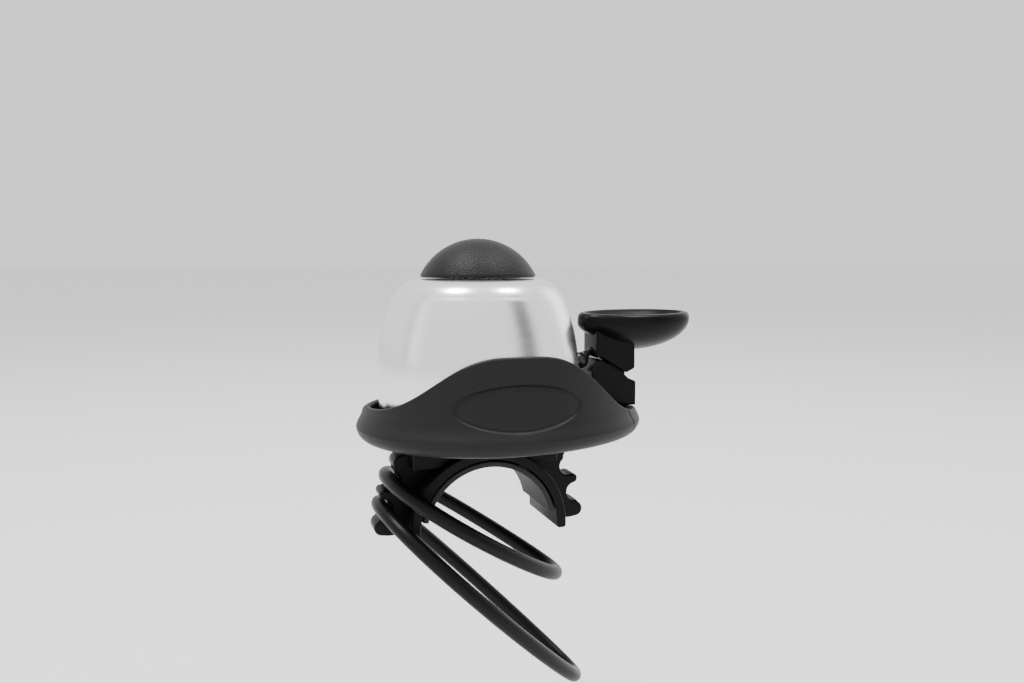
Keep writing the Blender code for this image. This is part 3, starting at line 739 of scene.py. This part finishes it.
@dataclass
class DomeGroup:
    """The dome, its cap and the hidden pieces that hold it."""

    shop: Workshop
    wall: float = 1.3 * MM
    belly: float = 32.0 * MM
    flank_drop: float = 2.7 * MM
    flank_run: float = 13.6 * MM
    shoulder: float = 47.5 * MM
    shoulder_radius: float = 5.6 * MM
    hole: float = 3.4 * MM
    cap_recess: float = 2.4 * MM
    steps: int = 240

    def profile(self) -> np.ndarray:
        """The dome's closed section as (radius, height).

        Returns:
            Points from the hole over the flat top, round the shoulder's arc and down the flank, where the
            radius is the belly's less a drop times the square of the height above it, then round the
            mouth's edge and back up inside at the wall's thickness.
        """
        low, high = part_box("dome")
        belly_radius, bottom, top = (high.x - low.x) / 2, low.z, high.z

        def flank(height: np.ndarray) -> np.ndarray:
            """Outer radius at a height.

            Args:
                height: heights in metres.

            Returns:
                The belly's radius less the drop above it or the tuck below it.
            """
            above = self.flank_drop * np.square((height - self.belly) / self.flank_run)
            below = 0.25 * MM * np.square((height - self.belly) / (self.belly - bottom))
            return belly_radius - np.where(height > self.belly, above, below)

        slope = 2 * self.flank_drop * (self.shoulder - self.belly) / self.flank_run ** 2
        start = math.degrees(math.atan(slope))
        reach = self.shoulder_radius * math.cos(math.radians(start))
        centre = (float(flank(np.array(self.shoulder))) - reach, top - self.shoulder_radius)
        outer_arc = arc(centre, self.shoulder_radius, 90.0, start, 22)
        inner_arc = arc(centre, self.shoulder_radius - self.wall, start, 90.0, 16)
        lip = 0.45 * MM
        fall = np.linspace(outer_arc[-1, 1], bottom + lip, 60)[1:]
        outer = np.stack([flank(fall), fall], axis=1)
        rise = np.linspace(bottom + lip, inner_arc[0, 1], 24)[:-1]
        inner = np.stack([flank(rise) - self.wall, rise], axis=1)
        foot = float(flank(np.array(bottom + lip)))
        edge = np.concatenate([arc((foot - lip, bottom + lip), lip, 0.0, -90.0, 6)[1:],
                               arc((foot - self.wall + lip, bottom + lip), lip, -90.0, -180.0, 6)[:-1]])
        flat = np.linspace(self.hole, outer_arc[0, 0], 12)[:-1]
        ceiling = np.linspace(inner_arc[-1, 0], self.hole, 12)[1:]
        top_face = np.stack([flat, np.full_like(flat, top)], axis=1)
        under_face = np.stack([ceiling, np.full_like(ceiling, top - self.wall)], axis=1)
        return np.concatenate([top_face, outer_arc, outer, edge, inner, inner_arc, under_face])

    def build(self) -> None:
        """Make the dome and the cap, and dress the fixings."""
        dome = revolve(self.profile(), self.steps, True).to_object("bell_dome")
        self.shop.dress(dome, Slot.ALUMINIUM, "root", "dome")
        self.build_cap()
        for node in ("dome_screw", "dome_washer"):
            self.shop.repaint(node, Slot.ZINC)
        self.shop.repaint("dome_bush", Slot.NYLON)
        self.shop.repaint("post_insert", Slot.BRASS)

    def build_cap(self) -> None:
        """The cap: a ball's crown with a rounded rim, a recess below it and a pocket for the screw's head."""
        low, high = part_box("dome_cap")
        radius, bottom, top = (high.x - low.x) / 2, low.z, high.z
        height = top - bottom
        ball = (radius ** 2 + height ** 2) / (2 * height)
        rim = 0.5 * MM
        edge = math.degrees(math.asin((bottom + rim - (top - ball)) / ball))
        crown = arc((0.0, top - ball), ball, 90.0, edge, 60)
        crown[0, 0] = 0.0
        rim_centre = (crown[-1, 0] - rim, bottom + rim)
        rim_arc = arc(rim_centre, rim, edge - 40.0, -90.0, 7)
        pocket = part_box("dome_screw")[1].z + 0.4 * MM
        recess = bottom + self.cap_recess
        below = np.array([(radius - 1.6 * MM, bottom), (radius - 2.0 * MM, bottom + 0.4 * MM),
                          (radius - 3.0 * MM, recess), (5.7 * MM, recess), (5.3 * MM, recess - 0.4 * MM),
                          (5.2 * MM, bottom + 1.2 * MM), (4.2 * MM, bottom + 1.2 * MM), (4.1 * MM, pocket),
                          (0.0, pocket)])
        cap = revolve(np.concatenate([crown, rim_arc, below]), 160, False).to_object("cap")
        self.shop.dress(cap, Slot.CAP, "root", "dome_cap")


# ------------------------------------------------------------------------------------ tray

@dataclass
class Tray:
    """The egg-shaped tray: lip, floor, level rim, front shield with a sunk oval, post and pedestal."""

    shop: Workshop
    centre: float = 5.05 * MM
    length: float = 27.5 * MM
    width: float = 21.9 * MM
    taper: float = 0.10
    lip_radius: float = 2.7 * MM
    floor_top: float = 20.3 * MM
    rim: float = 24.4 * MM
    rim_drop: float = 1.4 * MM
    wall: float = 1.3 * MM
    shield_rise: float = 12.3 * MM
    shield_centre: float = 2.0 * MM
    shield_half_width: float = 18.5 * MM
    shield_power: float = 3.3
    oval_centre: Pair = (1.6 * MM, 27.2 * MM)
    oval_size: Pair = (12.5 * MM, 4.35 * MM)
    oval_depth: float = 0.25 * MM
    oval_edge: float = 0.13 * MM
    parting_height: float = 0.05 * MM
    seam_depth: float = 0.3 * MM
    seam_width: float = 0.16 * MM
    seam_angle: float = 0.645
    seat_half_width: float = 3.8 * MM
    seat_height: float = 22.6 * MM

    def angles(self) -> np.ndarray:
        """Angles round the egg, closer together behind the oval and by the lever's seat.

        Returns:
            520 angles, evenly spaced in the running total of a density with a hump at each of these places.
        """
        even = np.linspace(-math.pi, math.pi, 4001)
        front = 3.6 * np.exp(-np.power(np.abs(even + 1.70) / 0.6, 8))
        seams = 9.0 * np.exp(-np.square((np.abs(even) - self.seam_angle) / 0.02))
        seat = 3.0 * np.exp(-np.power((np.abs(even) - 0.18) / 0.05, 4))
        total = np.cumsum(1.0 + front + seams + seat)
        total = (total - total[0]) / (total[-1] - total[0])
        return np.interp(np.linspace(0.0, 1.0, 520, endpoint=False), total, even)

    def plan(self, offset: np.ndarray, angle: np.ndarray) -> Tuple[np.ndarray, np.ndarray]:
        """The egg, moved out by an offset: x = c + (L + o) cos a, y = (W + o) sin a (1 - taper cos a)."""
        return (self.centre + (self.length + offset) * np.cos(angle),
                (self.width + offset) * np.sin(angle) * (1 - self.taper * np.cos(angle)))

    def crest(self, angle: np.ndarray) -> np.ndarray:
        """Top of the wall: the rim, and on the front the shield, rise * exp(-(|x - c| / w) ** power).

        Args:
            angle: angles round the egg.

        Returns:
            The heights, cut down to the seat where the lever's bracket stands.
        """
        x, y = self.plan(np.zeros_like(angle), angle)
        fall = np.clip((x - 16 * MM) / (16 * MM), 0.0, 1.0)
        rim = self.rim - self.rim_drop * fall * fall * (3 - 2 * fall)
        shield = np.exp(-np.power(np.abs(x - self.shield_centre) / self.shield_half_width, self.shield_power))
        height = rim + np.where(y > 0, 0.0, self.shield_rise * shield)
        on_seat = (np.abs(y) < self.seat_half_width) & (x > self.centre)
        return np.where(on_seat, np.minimum(height, self.seat_height), height)

    def flare(self, rise: np.ndarray) -> np.ndarray:
        """The wall's offset at a rise above the lip: 1.6 mm - 0.07 rise, widened near the lip."""
        return 1.6 * MM - 0.07 * rise + 1.1 * MM * np.exp(-np.square(rise / (2.0 * MM)))

    def surface(self) -> Shell:
        """The tray's skin.

        Returns:
            A grid of sections round the egg. Each section goes from under the floor round the lip, up the
            flared outside of the wall, over its rounded top, down the inside and along the floor. The
            oval is sunk where its implicit value is below 1, with a groove inside its edge. The parting
            line is a small hump at the lip's widest, and two fine seams run down the wall and lip on
            either side of the lever's seat.
        """
        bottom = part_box("base")[0].z
        lip_height = bottom + self.lip_radius
        angle = self.angles()
        top = self.crest(angle)
        shoulder = top - 0.5 * MM
        lip = np.radians(np.concatenate([np.linspace(-90, -8, 14), [-5, -2.5, -1.2, 0.0]]))[:, None]
        lip_offset = self.lip_radius * np.cos(lip) + 0 * angle
        lip_z = lip_height + self.lip_radius * np.sin(lip) + 0 * angle
        share = np.concatenate([[0.004, 0.009, 0.015], np.linspace(0.03, 0.12, 6),
                                np.linspace(0.13, 0.71, 88), np.linspace(0.73, 1.0, 12)])[:, None]
        wall_z = lip_height + (shoulder - lip_height) * share
        wall_offset = self.flare(wall_z - lip_height)
        x, y = self.plan(wall_offset, angle)
        implicit = (np.square((x - self.oval_centre[0]) / self.oval_size[0])
                    + np.square((wall_z - self.oval_centre[1]) / self.oval_size[1]))
        near = (1.0 - np.sqrt(implicit)) * self.oval_size[1]
        step = np.clip(near / self.oval_edge, -1.0, 1.0)
        groove = 0.6 * np.exp(-np.square((near - 0.12 * MM) / (0.16 * MM)))
        sunk = 0.5 + 0.25 * step * (3 - step * step) + groove
        wall_offset = wall_offset - self.oval_depth * np.where(y < 0, sunk, 0.0)
        outer = self.flare(shoulder - lip_height)
        inner = 1.6 * MM - 0.07 * (shoulder - lip_height) - self.wall
        over = np.radians(np.linspace(15, 165, 9))[:, None]
        cap_offset = (outer + inner) / 2 + (outer - inner) / 2 * np.cos(over)
        cap_z = shoulder + 0.45 * MM * np.sin(over)
        foot = self.floor_top + 0.6 * MM
        fall = np.linspace(1.0, 0.0, 8)[:, None]
        down_z = foot + (shoulder - foot) * fall
        down_offset = 1.6 * MM - 0.07 * (down_z - lip_height) - self.wall
        turn = np.radians(np.linspace(15, 90, 6))[:, None]
        fillet_offset = down_offset[-1] - 0.6 * MM * (1 - np.cos(turn))
        fillet_z = foot - 0.6 * MM * np.sin(turn) + 0 * angle
        flat = np.linspace(-2.0, -8.0, 4)[:, None] * MM + 0 * angle
        under = np.linspace(-5.0, -0.6, 6)[:, None] * MM + 0 * angle
        offset = np.concatenate([under, lip_offset, wall_offset, cap_offset, down_offset, fillet_offset,
                                 flat])
        height = np.concatenate([np.full_like(under, bottom), lip_z, wall_z, cap_z, down_z, fillet_z,
                                 np.full_like(flat, self.floor_top)])
        outside = np.zeros(len(offset))[:, None]
        outside[len(under):len(under) + len(lip_z) + len(wall_z)] = 1.0
        parting = self.parting_height * np.exp(-np.square((height - lip_height) / (0.09 * MM)))
        along = (np.abs(angle) - self.seam_angle) * self.length
        seam = self.seam_depth * np.exp(-np.square(along / self.seam_width))
        seam = seam * (height > lip_height - 1.6 * MM)
        offset = offset + outside * (parting - seam)
        x, y = self.plan(offset, angle)
        poles = [np.array([self.centre, 0.0, bottom]), np.array([self.centre, 0.0, self.floor_top])]
        return skin(np.stack([x, y, height], axis=-1), poles=poles)

    def build(self) -> None:
        """Make the tray with its counterbores, and its post and pedestal."""
        tray = self.surface().to_object("tray")
        cutters = []
        for word in ("inner", "outer"):
            low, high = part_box(f"bracket_screw_{word}")
            spot = ((low.x + high.x) / 2, 0.0)
            bore = (high.x - low.x) / 2 + 0.3 * MM
            cutters.append(rod(bore, low.z - 2 * MM, 19.9 * MM, spot).to_object(f"bore_{word}"))
        carved(tray, cutters)
        self.shop.dress(tray, Slot.TRAY, "root", "base")
        post = np.array([(3.3, 20.6), (3.3, 44.3), (3.5, 44.5), (4.5, 44.5), (4.7, 44.3), (5.0, 21.4),
                         (5.4, 20.6), (6.0, 20.3), (6.0, 20.0), (3.3, 20.0)]) * MM
        seat = rounded([(24.3 * MM, 20.0 * MM, 0.0), (32.0 * MM, 20.0 * MM, 0.0),
                        (32.0 * MM, self.seat_height, 0.3 * MM), (24.3 * MM, self.seat_height, 0.3 * MM)])
        stand = revolve(post, 72, True) + prism(seat, -3.5 * MM, 3.5 * MM, 0.3 * MM)
        self.shop.dress(stand.to_object("tray_post"), Slot.TRAY, "root", "base")


# ------------------------------------------------------------------------------------ saddle

@dataclass
class Saddle:
    """The saddle with its hooks, its grey pad and the screw that holds the tray."""

    shop: Workshop
    inner: float = 14.4 * MM
    outer: float = 16.4 * MM
    edge: float = 0.35 * MM
    tower_half_width: float = 2.8 * MM
    seat_radius: float = 1.95 * MM
    pad_start: float = 11.7

    def arch(self) -> Shell:
        """Half a tube over the bar with straight legs, its edges round.

        Returns:
            The arch: two arcs joined by blunt feet, carried along Y.
        """
        low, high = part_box("saddle")
        foot = low.z + 0.15 * MM
        toe = 0.5 * MM
        inside = arc((0.0, 0.0), self.inner, 0.0, 180.0, 90)
        outside = arc((0.0, 0.0), self.outer, 180.0, 0.0, 90)
        left = np.array([(-self.inner, foot + toe), (-self.inner - 0.15 * MM, foot + 0.15 * MM),
                         (-self.inner - toe, foot), (-self.outer + toe, foot),
                         (-self.outer + 0.15 * MM, foot + 0.15 * MM), (-self.outer, foot + toe)])
        right = left[::-1] * np.array([-1.0, 1.0])
        outline = refined(np.concatenate([inside, left, outside, right]), 0.5 * MM)
        return prism(outline, low.y, high.y, self.edge)

    def table(self) -> Shell:
        """The flat block over the arch that the tray stands on.

        Returns:
            The block: a rounded rectangle with an arc cut from below, carried along Y.
        """
        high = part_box("saddle")[1]
        half, line = 15.2 * MM, 12.8 * MM
        crown = arc((0.0, 0.0), self.inner + 0.6 * MM, 121.0, 59.0, 30)
        base = np.array([(-half, line)])
        top = rounded([(half, line, 0.0), (half, high.z, 0.5 * MM), (-half, high.z, 0.5 * MM),
                       (-half, line, 0.0)])
        top = top[top[:, 1] > line + 0.05 * MM]
        outline = refined(np.concatenate([base, crown, np.array([(half, line)]), top]), 0.5 * MM)
        return prism(outline, -6.5 * MM, 6.5 * MM, 0.4 * MM)

    def tower(self, side: int) -> Shell:
        """Three hooks one above the other with two round seats between them.

        Args:
            side: 1 for the lever's side, -1 for the far side.

        Returns:
            The tower, whose outline is a chain of arcs.
        """
        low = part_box("saddle")[0]
        upper, lower = frame_seat("upper_ring_swing"), frame_seat("lower_ring_swing")
        root = self.inner + 0.6 * MM
        chain = [np.array([(root, 16.2 * MM)]),
                 arc((16.9 * MM, 13.7 * MM), 1.6 * MM, 80.0, -35.0, 14),
                 arc(upper, self.seat_radius, 128.0, 292.0, 18),
                 arc((20.35 * MM, 7.6 * MM), 1.0 * MM, 62.0, -62.0, 12),
                 arc(lower, self.seat_radius, 100.0, 280.0, 18),
                 arc((20.9 * MM, 0.85 * MM), 1.6 * MM, 62.0, -75.0, 16),
                 np.array([(19.6 * MM, low.z + 0.15 * MM), (root, low.z + 0.3 * MM)]),
                 arc((0.0, 0.0), root, 0.0, 57.0, 20)]
        outline = refined(np.concatenate(chain), 0.4 * MM) * np.array([side, 1.0])
        return prism(outline, -self.tower_half_width, self.tower_half_width, 0.45 * MM, 5)

    def build(self) -> None:
        """Make the saddle and the pad, and dress the screw, washer and nut."""
        saddle = self.arch() + self.table() + self.tower(1) + self.tower(-1)
        self.shop.dress(saddle.to_object("saddle_body"), Slot.SADDLE, "root", "saddle")
        low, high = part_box("saddle_pad")
        outer = high.z
        bar = outer - 1.1 * MM
        share = np.linspace(self.pad_start, 180.0 - self.pad_start, 100)
        outline = np.concatenate([arc((0.0, 0.0), bar, share[0], share[-1], 100),
                                  arc((0.0, 0.0), outer, share[-1], share[0], 100)])
        pad = prism(refined(outline, 0.45 * MM), low.y, high.y, 0.25 * MM)
        self.shop.dress(pad.to_object("pad"), Slot.PAD, "root", "saddle_pad")
        for node in ("saddle_screw", "saddle_washer", "saddle_nut"):
            self.shop.repaint(node, Slot.ZINC)


def frame_seat(joint: str) -> Pair:
    """Where a ring hangs, as (distance from the axis, height), read from its joint."""
    spot = next(j for j in frame["joints"] if j["name"] == joint)["pos_m"]
    return (-spot[0], spot[2])


# ------------------------------------------------------------------------------------ lever

@dataclass
class LeverGroup:
    """The bracket, the thumb lever with its paddle, the hammer, the pin and the spring."""

    shop: Workshop
    half_width: float = 3.5 * MM
    slot_half_width: float = 2.5 * MM
    slot_floor: float = 25.6 * MM
    slot_ends: Pair = (26.7 * MM, 33.0 * MM)
    paddle_centre: Pair = (35.8 * MM, 42.4 * MM)
    paddle_size: Pair = (13.2 * MM, 6.8 * MM)
    keel: Pair = (34.5 * MM, 34.7 * MM)
    cant: float = math.radians(3.0)

    def pivot(self) -> Pair:
        """The hinge's axis as (x, z)."""
        spot = next(j for j in frame["joints"] if j["name"] == "lever_tilt")["pos_m"]
        return (spot[0], spot[2])

    def build_bracket(self) -> None:
        """The bracket: a solid with a sloping top, slotted for the lever's lug."""
        low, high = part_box("lever_bracket")
        corners = [(low.x, low.z, 0.2 * MM), (low.x, 30.7 * MM, 0.5 * MM), (26.3 * MM, 33.3 * MM, 0.5 * MM),
                   (31.5 * MM, 30.2 * MM, 0.4 * MM), (32.9 * MM, 28.9 * MM, 0.4 * MM),
                   (high.x, 28.1 * MM, 0.5 * MM), (high.x, low.z, 0.2 * MM)]
        body = prism(rounded(corners), -self.half_width, self.half_width, 0.35 * MM).to_object("bracket")
        inner, outer = self.slot_ends
        slot = rounded([(inner, self.slot_floor, 0.4 * MM), (outer, self.slot_floor, 0.4 * MM),
                        (outer, 40 * MM, 0.0), (inner, 40 * MM, 0.0)], 2.0 * MM)
        x, z = self.pivot()
        pin = rod(1.2 * MM, -3.1 * MM, 4.0 * MM).placed(
            Matrix.Translation((x, 0.0, z)) @ Matrix.Rotation(-math.pi / 2, 4, "X"))
        carved(body, [prism(slot, -self.slot_half_width, self.slot_half_width, 0.05 * MM).to_object("slot"),
                      pin.to_object("pin_hole")])
        self.shop.dress(body, Slot.LEVER, "root", "lever_bracket")

    def paddle(self) -> Shell:
        """The thumb paddle.

        Returns:
            A boat's hull below a rounded rim with a shallow cup inside it. Ring k of the hull is the rim's
            oval shrunk about the keel by sin(90 deg * k / n), at a height between a round and a straight
            rise that depends on the side. The band between hull and rim is deeper towards the dome. The
            rim rolls over a quarter of an oval and dips into the cup by a sine.
        """
        rim_x, rim_z = self.paddle_centre
        keel_x, keel_z = self.keel
        half_length, half_width = self.paddle_size
        angle = np.linspace(0.0, 2 * np.pi, 160, endpoint=False)
        level = np.linspace(0.02, 1.0, 44)[:, None]
        part = np.sin(np.pi / 2 * level)
        bulge = 1 - np.cos(np.pi / 2 * level)
        inner = (1 - np.cos(angle)) / 2
        straight = 0.5 * inner
        band = (0.25 + 0.95 * inner) * MM
        rise = (1 - straight) * bulge + straight * part
        hull_x = keel_x + (rim_x + half_length * np.cos(angle) - keel_x) * part
        hull_y = half_width * np.sin(angle) * part
        hull_z = keel_z + (rim_z - 0.6 * MM - band - keel_z) * rise
        roll = np.radians(np.linspace(12, 90, 7))
        slope = np.linspace(0.0, 1.0, 8)[1:]
        shrink = np.concatenate([1.0 - np.cos(roll), [1.4, 1.7], 1.7 + 4.3 * slope])[:, None] * MM
        dip = 1.08 - 2.2 * np.sin(np.pi / 2 * slope)
        lift = np.concatenate([1.2 * np.sin(roll), [1.2, 1.08], dip])[:, None] * MM
        cup_x = rim_x + (half_length - shrink) * np.cos(angle)
        cup_y = (half_width - shrink) * np.sin(angle)
        cup_z = rim_z - 0.6 * MM + lift + 0 * angle
        grid = np.concatenate([np.stack([hull_x, hull_y, hull_z], axis=-1),
                               np.stack([cup_x, cup_y, cup_z], axis=-1)])
        poles = [np.array([keel_x, 0.0, keel_z]), np.array([rim_x, 0.0, rim_z - 1.74 * MM])]
        lean = (Matrix.Translation((rim_x, 0.0, rim_z)) @ Matrix.Rotation(self.cant, 4, "X")
                @ Matrix.Translation((-rim_x, 0.0, -rim_z)))
        return skin(grid, poles=poles).placed(lean)

    def build_lever(self) -> None:
        """The lever: paddle, square stem and the lug that turns on the pin."""
        stem = rounded([(26.1 * MM, 33.9 * MM, 0.5 * MM), (25.3 * MM, 33.2 * MM, 0.42 * MM),
                        (25.3 * MM, 39.8 * MM, 0.42 * MM), (33.5 * MM, 39.8 * MM, 0.42 * MM),
                        (34.3 * MM, 38.0 * MM, 0.6 * MM), (34.4 * MM, 31.0 * MM, 0.6 * MM),
                        (32.5 * MM, 30.1 * MM, 0.42 * MM), (31.7 * MM, 30.5 * MM, 0.42 * MM)])
        x, z = self.pivot()
        lug = np.concatenate([arc((x, z), 2.1 * MM, 180.0, 360.0, 40),
                              np.array([(32.6 * MM, 31.2 * MM), (28.6 * MM, 33.4 * MM)])])
        lever = (prism(stem, -self.half_width, self.half_width, 0.3 * MM) + self.paddle()
                 + prism(refined(lug, 0.3 * MM), -2.2 * MM, 0.6 * MM, 0.2 * MM))
        self.shop.dress(lever.to_object("lever"), Slot.LEVER, "lever", "thumb_lever")

    def build_hammer(self) -> None:
        """The hammer: a ball that runs into a stem through a small fillet."""
        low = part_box("hammer")[0]
        ball = 1.8 * MM
        centre = Vector((low.x + ball, 0.0, low.z + ball))
        reach = (Vector((26.6 * MM, 0.0, 36.2 * MM)) - centre).normalized()
        stem, end = 0.6 * MM, 6.0 * MM
        head = arc((0.0, 0.0), ball, -90.0, 52.0, 40)
        head[0, 0] = 0.0
        neck = np.linspace(ball * 0.85, 3.4 * MM, 6)
        neck_radius = stem + 0.5 * MM * np.linspace(1.0, 0.0, 6) ** 2
        shank = np.array([(stem, end - 0.1 * MM), (stem - 0.1 * MM, end), (0.0, end)])
        profile = np.concatenate([head, np.stack([neck_radius, neck], axis=1), shank])[::-1]
        turn = Vector((0.0, 0.0, 1.0)).rotation_difference(reach).to_matrix().to_4x4()
        hammer = revolve(profile, 64, False).placed(Matrix.Translation(centre) @ turn)
        self.shop.dress(hammer.to_object("striker"), Slot.OXIDE, "lever", "hammer")

    def build_spring(self) -> None:
        """The torsion spring: two and a half turns round the pin with a leg at each end."""
        x, z = self.pivot()
        coil, wire, turns = 1.5 * MM, 0.22 * MM, 2.5
        start_y, end_y = 1.15 * MM, 2.2 * MM
        share = np.linspace(0.0, 1.0, 140)
        angle = -np.pi / 2 - 2 * np.pi * turns * share
        round_part = np.stack([x + coil * np.cos(angle), start_y + (end_y - start_y) * share,
                               z + coil * np.sin(angle)], axis=1)
        foot = np.array([x - 3.2 * MM, start_y, self.slot_floor + 0.6 * MM])
        tip = np.array([x - 1.8 * MM, end_y, z + coil + 1.2 * MM])
        ease = np.linspace(0.0, 1.0, 12)[:-1, None]
        path = np.concatenate([foot + (round_part[0] - foot) * ease, round_part,
                               tip + (round_part[-1] - tip) * ease[::-1]])
        spring = tube(path, lambda a: wire + 0 * a, 14, False, Vector((0.0, 1.0, 0.0)))
        self.shop.dress(spring.to_object("spring"), Slot.SPRING, "root", "lever_spring")

    def build(self) -> None:
        """Make every piece of the group."""
        self.build_bracket()
        self.build_lever()
        self.build_hammer()
        self.build_spring()
        for node in ("lever_pin", "bracket_screw_inner", "bracket_screw_outer"):
            self.shop.repaint(node, Slot.ZINC)


# ------------------------------------------------------------------------------------ rings

@dataclass
class RubberRing:
    """An egg-shaped rubber ring on its hooks, with a faint parting line inside and outside."""

    shop: Workshop
    word: str
    size: Pair
    drop: float
    section: float = 1.5 * MM
    taper: float = 0.25

    def build(self) -> None:
        """Carry a round section along an egg.

        At an angle a the egg reaches L (1 - cos a) down the slope and W sin a (1 + t cos a) to the side.
        """
        seat = frame_seat(f"{self.word}_ring_swing")
        half_length, half_width = self.size
        angle = np.linspace(0.0, 2 * np.pi, 320, endpoint=False)
        reach = half_length * (1 - np.cos(angle))
        side = half_width * np.sin(angle) * (1 + self.taper * np.cos(angle))
        path = np.stack([-seat[0] + reach * math.cos(self.drop), side,
                         seat[1] - reach * math.sin(self.drop)], axis=1)
        over = Vector((math.sin(self.drop), 0.0, math.cos(self.drop)))

        def section(around: np.ndarray) -> np.ndarray:
            """The section's radius, with a parting line on two sides."""
            flash = np.exp(-np.square(np.sin(around) / 0.07))
            return self.section + 0.05 * MM * flash

        ring = tube(path, section, 72, True, over).to_object(f"ring_{self.word}", 80.0)
        self.shop.dress(ring, Slot.RING, f"{self.word}_ring", f"rubber_ring_{self.word}")


# ------------------------------------------------------------------------------------ studio

@dataclass
class Studio:
    """Pale floor, soft boxes and the camera."""

    tent: float = 1.3
    backdrop: float = 1.15
    patches: Tuple[Tuple[float, float, float, float], ...] = (
        (43.0, 11.0, -0.85, 0.72), (-107.0, 3.0, -0.35, 0.9),
        (-93.0, 6.0, 0.35, 0.75), (115.0, 14.0, 0.9, 0.55))
    ring_drop: float = 19.5 * MM
    lens: float = 29.27
    stand: Tuple[float, float, float] = (-48.4 * MM, -164.7 * MM, 54.07 * MM)
    pitch: float = 5.505
    heading: float = 18.713

    def floor(self) -> None:
        """A wide pale floor just under the lowest point that the lower ring swings to."""
        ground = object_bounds()[0][2] - self.ring_drop
        reach = 20.0
        spots = np.array([(-reach, -reach, ground), (reach, -reach, ground), (reach, reach, ground),
                          (-reach, reach, ground)])
        piece = Shell(spots, [(0, 1, 2, 3)]).to_object("floor")
        graph = Graph("pale_floor")
        graph.feed(Base_Color=(0.80, 0.80, 0.80, 1.0), Roughness=0.8)
        piece.data.materials.append(graph.material)
        piece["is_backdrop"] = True

    def sky(self) -> None:
        """A white tent with two dark gaps and two bright panels.

        Each patch is (bearing in degrees from -Y towards +X, half its width, its change of brightness, the
        sine of its top's height). Seen directly the tent is plain.
        """
        world = bpy.data.worlds.new("studio")
        world.use_nodes = True
        graph = Graph("tent")
        bpy.data.materials.remove(graph.material)  # the nodes go in the world's tree instead
        graph.tree = world.node_tree
        direction = graph.node("TexCoord", output="Generated")
        x, y, z = (direction.axis(letter) for letter in "XYZ")
        bearing = graph.node("Math", {"operation": "ARCTAN2"}, at_0=x, at_1=0.0 - y)
        tent: object = self.tent
        for middle, half, change, top in self.patches:
            off = graph.node("Math", {"operation": "ABSOLUTE"}, at_0=bearing - math.radians(middle))
            beside = graph.range(off, math.radians(half * 0.7), math.radians(half * 1.3))
            above = graph.range(z, top - 0.12, top + 0.12)
            tent = (1.0 + change * ((1.0 - beside) * (1.0 - above))) * tent
        seen = graph.node("LightPath", output="Is Camera Ray")
        strength = seen * self.backdrop + (1.0 - seen) * tent
        background = world.node_tree.nodes["Background"]
        background.inputs["Color"].default_value = (1.0, 1.0, 1.0, 1.0)
        graph.join(background.inputs["Strength"], strength)
        bpy.context.scene.world = world

    def soft_box(self, name: str, spot: Tuple[float, float, float], size: Pair, power: float) -> None:
        """A soft box that looks at the bell.

        Args:
            name: the light's name.
            spot: its place in metres.
            size: its width and height in metres.
            power: its power in watts.
        """
        light = bpy.data.lights.new(name, "AREA")
        light.shape = "RECTANGLE"
        light.size, light.size_y = size
        light.energy = power
        lamp = bpy.data.objects.new(name, light)
        lamp.location = spot
        aim = Vector((0.005, 0.0, 0.03)) - Vector(spot)
        lamp.rotation_euler = aim.to_track_quat("-Z", "Y").to_euler()
        bpy.context.scene.collection.objects.link(lamp)

    def build(self) -> None:
        """Set up everything that isn't the bell."""
        self.floor()
        self.sky()
        self.soft_box("left_top_box", (-0.28, -0.01, 0.86), (0.16, 0.16), 8.0)
        self.soft_box("right_top_box", (0.33, -0.12, 0.83), (0.13, 0.13), 5.0)
        camera = bpy.data.cameras.new("view")
        camera.lens = self.lens
        camera.sensor_width = 36.0
        camera.clip_start = 0.005
        eye = bpy.data.objects.new("view", camera)
        eye.location = self.stand
        eye.rotation_euler = (math.radians(90.0 - self.pitch), 0.0, math.radians(-self.heading))
        bpy.context.scene.collection.objects.link(eye)
        bpy.context.scene.camera = eye


def main() -> None:
    logging.basicConfig(level=logging.INFO, format="%(name)s %(message)s")
    shop = Workshop()
    Studio().build()
    DomeGroup(shop).build()
    Tray(shop).build()
    Saddle(shop).build()
    LeverGroup(shop).build()
    RubberRing(shop, "upper", (21.5 * MM, 15.6 * MM), math.radians(32.9)).build()
    RubberRing(shop, "lower", (29.7 * MM, 16.4 * MM), math.radians(44.5)).build()


if __name__ == "__main__":
    main()
